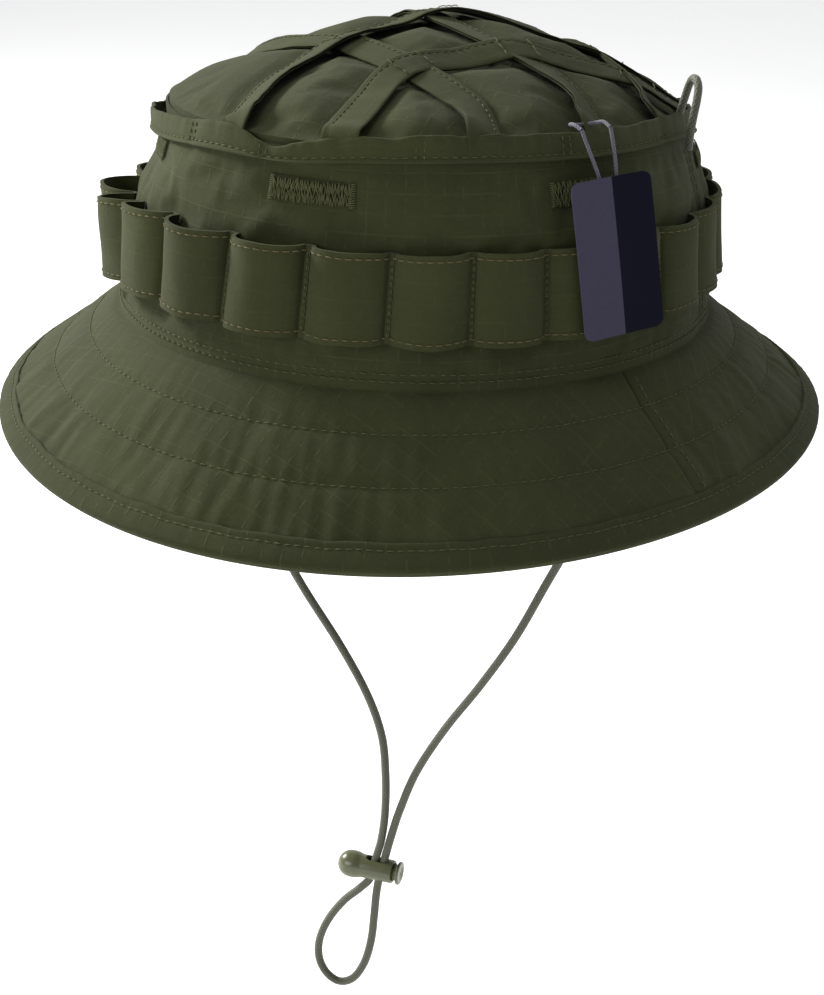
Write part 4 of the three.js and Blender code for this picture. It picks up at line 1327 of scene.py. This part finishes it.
# Outlines of (x, radius) round the lock's axis, in mm. The barrel's begins with a dome.
BARREL = [(-17.2 + 4.65 * (1 - math.cos(a)), 4.65 * math.sin(a))
          for a in np.radians(np.linspace(3, 90, 12))]
BARREL += [(-11.6, 4.65), (-10.9, 4.62), (-10.2, 4.5), (-9.2, 4.2), (-8.6, 4.05), (-8.0, 4.0),
           (2.5, 4.0), (2.75, 3.93), (2.9, 3.75), (2.9, 3.3), (2.75, 3.15), (-13.8, 3.15),
           (-14.0, 3.0), (-14.0, 0.24)]
PLUNGER = [(-9, 0.24), (-9, 2.5), (-8.7, 2.8), (4.3, 2.8), (4.5, 2.95), (4.5, 3.8), (4.65, 4.0),
           (5.15, 4.0), (5.4, 3.85), (5.5, 3.55), (5.5, 2.4), (5.42, 2.2), (5.3, 1.9), (5.3, 0.24)]


def turned(name, profile, material, steps=64):
    """A ring-shaped body turned about the lock's axis from an outline of (x, radius)."""
    profile = np.array(profile, dtype=float)
    angle = np.linspace(0, 2 * math.pi, steps, endpoint=False)[:, None]
    x, radius = profile.T
    y, z = LOCK_Y + radius * np.cos(angle), LOCK_Z + radius * np.sin(angle)
    rings = np.stack(np.broadcast_arrays(x, y, z), -1) * MM
    v = length_along(profile)
    uv = uv_grid(np.linspace(0, 25, steps + 1), np.append(v, v[-1] + 0.1)) * MM
    return loft(name, rings, uv, ring=True, material=material, smooth_angle=35)


def rounded_slot(x0, x1, half):
    """A cutter for the cord's hole: straight through along Z with round ends."""
    side = np.radians(np.linspace(-90, 90, 13))
    right = [(x1 - half + half * math.cos(a), half * math.sin(a)) for a in side]
    left = [(x0 + half - half * math.cos(a), -half * math.sin(a)) for a in side]
    outline = np.array(right + left)
    rings = np.array([[(x, LOCK_Y + y, LOCK_Z + z) for x, y in outline] for z in (-9, 9)]) * MM
    return loft("cutter", rings, np.zeros((2, len(outline) + 1, 2)))


def cut_and_ease(piece, cutter, ease):
    """Cuts the cord's hole and rounds the edges a mould would leave round."""
    boolean = piece.modifiers.new("hole", "BOOLEAN")
    boolean.object, boolean.operation, boolean.solver = cutter, "DIFFERENCE", "EXACT"
    bevel = piece.modifiers.new("ease", "BEVEL")
    bevel.width, bevel.segments = ease, 3
    bevel.limit_method, bevel.angle_limit = "ANGLE", math.radians(50)
    bpy.context.view_layer.update()
    evaluated = piece.evaluated_get(bpy.context.evaluated_depsgraph_get())
    done = bpy.data.meshes.new_from_object(evaluated)
    piece.modifiers.clear()
    piece.data = done
    piece.data.shade_smooth()
    piece.data.set_sharp_from_angle(angle=math.radians(40))
    bpy.data.objects.remove(cutter)


def make_lock():
    """The barrel, the button with its plunger, and the spring between them."""
    body = turned("lock_barrel", BARREL, MATERIALS["lock"])
    cut_and_ease(body, rounded_slot(-7.1, 1.1, 1.7), 0.25 * MM)
    settle(body, "cord_lock", "lock", "lock_body")
    button = turned("lock_button_plunger", PLUNGER, MATERIALS["lock"])
    cut_and_ease(button, rounded_slot(-7.1, 2.6, 1.7), 0.2 * MM)
    settle(button, "lock_plunger", "lock", "lock_plunger")
    turn = np.linspace(0, 2 * math.pi * SPRING_COILS, 160)
    x = np.linspace(SPRING_FROM + SPRING_WIRE / 2, SPRING_TO - SPRING_WIRE / 2, len(turn))
    path = np.stack([x, LOCK_Y + SPRING_RADIUS * np.cos(turn),
                     LOCK_Z + SPRING_RADIUS * np.sin(turn)], 1) * MM
    spring = tube("lock_spring_wire", path, SPRING_WIRE / 2 * MM, 10, MATERIALS["spring"])
    settle(spring, "cord_lock", "spring", "lock_spring")
    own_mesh(spring)
    return [body, button, spring]


# ------------------------------------------------------------------ hang tag
TAG_WIDTH, TAG_HEIGHT, TAG_CARD, TAG_CORNER = 28.0, 43.0, 0.6, 2.5
TAG_LEAN, TAG_ROLL = math.radians(11.0), math.radians(3.0)


def make_tag():
    """A card with rounded corners and a slight curl, leaning on the foliage loops."""
    s, t = grid(np.linspace(-1, 1, 41), np.linspace(0, 1, 61))
    drop = t * TAG_HEIGHT
    from_end = np.minimum(drop, TAG_HEIGHT - drop)
    inset = np.where(from_end < TAG_CORNER, TAG_CORNER - np.sqrt(
        np.maximum(0, TAG_CORNER ** 2 - (TAG_CORNER - from_end) ** 2)), 0)
    x = s * (TAG_WIDTH / 2 - inset)
    curl = 0.35 * (x / (TAG_WIDTH / 2)) ** 2 + 0.25 * np.sin(drop / TAG_HEIGHT * math.pi)
    px = x * math.cos(TAG_ROLL) + drop * math.sin(TAG_ROLL)
    py = -(TAG_CARD + curl)
    pz = x * math.sin(TAG_ROLL) - drop * math.cos(TAG_ROLL)
    points = from_tag(np.stack([px, py * math.cos(TAG_LEAN) + pz * math.sin(TAG_LEAN),
                                pz * math.cos(TAG_LEAN) - py * math.sin(TAG_LEAN)], -1))
    uv = np.stack([x, -drop], -1) * MM
    card = shell("tag_card_board", points, uv, TAG_CARD * MM, material=MATERIALS["card"],
                 flip=True)
    settle(card, "hang_tag", "card", "tag_card")


# ------------------------------------------------------------------ light and floor
LIT_POINT = Vector((0, 0, 0.02))


def area_light(name, place, size, power, color=(1, 1, 1)):
    data = bpy.data.lights.new(name, "AREA")
    data.shape, data.size = "DISK", size
    data.energy, data.color = power, color
    light = bpy.data.objects.new(name, data)
    light.location = place
    light.rotation_euler = (LIT_POINT - Vector(place)).to_track_quat("-Z", "Y").to_euler()
    bpy.context.scene.collection.objects.link(light)


def make_sky():
    """White all round, and dimmer in front of the hat, so that its face stays in shade."""
    world = bpy.data.worlds.new("studio")
    world.use_nodes = True
    tree = world.node_tree
    place = tree.nodes.new("ShaderNodeTexCoord")
    split = tree.nodes.new("ShaderNodeSeparateXYZ")
    spread = tree.nodes.new("ShaderNodeMapRange")
    spread.interpolation_type = "SMOOTHSTEP"
    for socket, value in (("From Min", -0.35), ("From Max", 0.35),
                          ("To Min", 0.14), ("To Max", 0.85)):
        spread.inputs[socket].default_value = value
    tree.links.new(place.outputs["Generated"], split.inputs[0])
    tree.links.new(split.outputs[1], spread.inputs["Value"])
    tree.links.new(spread.outputs[0], tree.nodes["Background"].inputs["Strength"])
    tree.nodes["Background"].inputs["Color"].default_value = (0.97, 0.98, 1.0, 1.0)
    bpy.context.scene.world = world


FLOOR_HALF = 40               # metres, so that its far edge lies behind every view


def make_studio():
    floor_z = cad_low[2] - 8 * MM
    n = Nodes("floor_paper")
    grain = n.noise(n.place(), 6.0, 3.0)
    n.finish(n.mix(grain, rgb(0.80, 0.80, 0.80), rgb(0.84, 0.84, 0.84)), Roughness=0.9,
             Emission_Color=rgb(1, 1, 1), Emission_Strength=0.4)
    corners = [(x * FLOOR_HALF, y * FLOOR_HALF, floor_z)
               for x, y in ((-1, -1), (1, -1), (1, 1), (-1, 1))]
    new_object("floor", corners, [(0, 1, 2, 3)], None, n.material)
    make_sky()
    area_light("key", (-1.32, 0.22, 0.72), 0.5, 41, (1.0, 0.99, 0.96))
    area_light("top", (-0.15, -0.25, 1.35), 0.9, 6.0, (1.0, 1.0, 0.98))
    area_light("fill", (-0.65, -1.25, 0.35), 0.7, 7)
    bpy.context.scene.view_settings.view_transform = "Standard"


def make_hat():
    threads, hems = Threads(), Threads()
    make_crown(threads)
    make_tip()
    make_straps(threads)
    make_top_band(threads)
    make_foliage_strip(threads, hems)
    make_vents()
    make_brim(threads)
    make_sweatband(threads)
    make_label(threads)
    make_tabs()
    settle(threads.build("seam_stitching", MATERIALS["thread"]), "hat", "trim")
    settle(hems.build("hem_stitching", MATERIALS["hem_thread"]), "hat", "trim")


make_cords(make_lock())
make_hat()
make_tag()
make_studio()
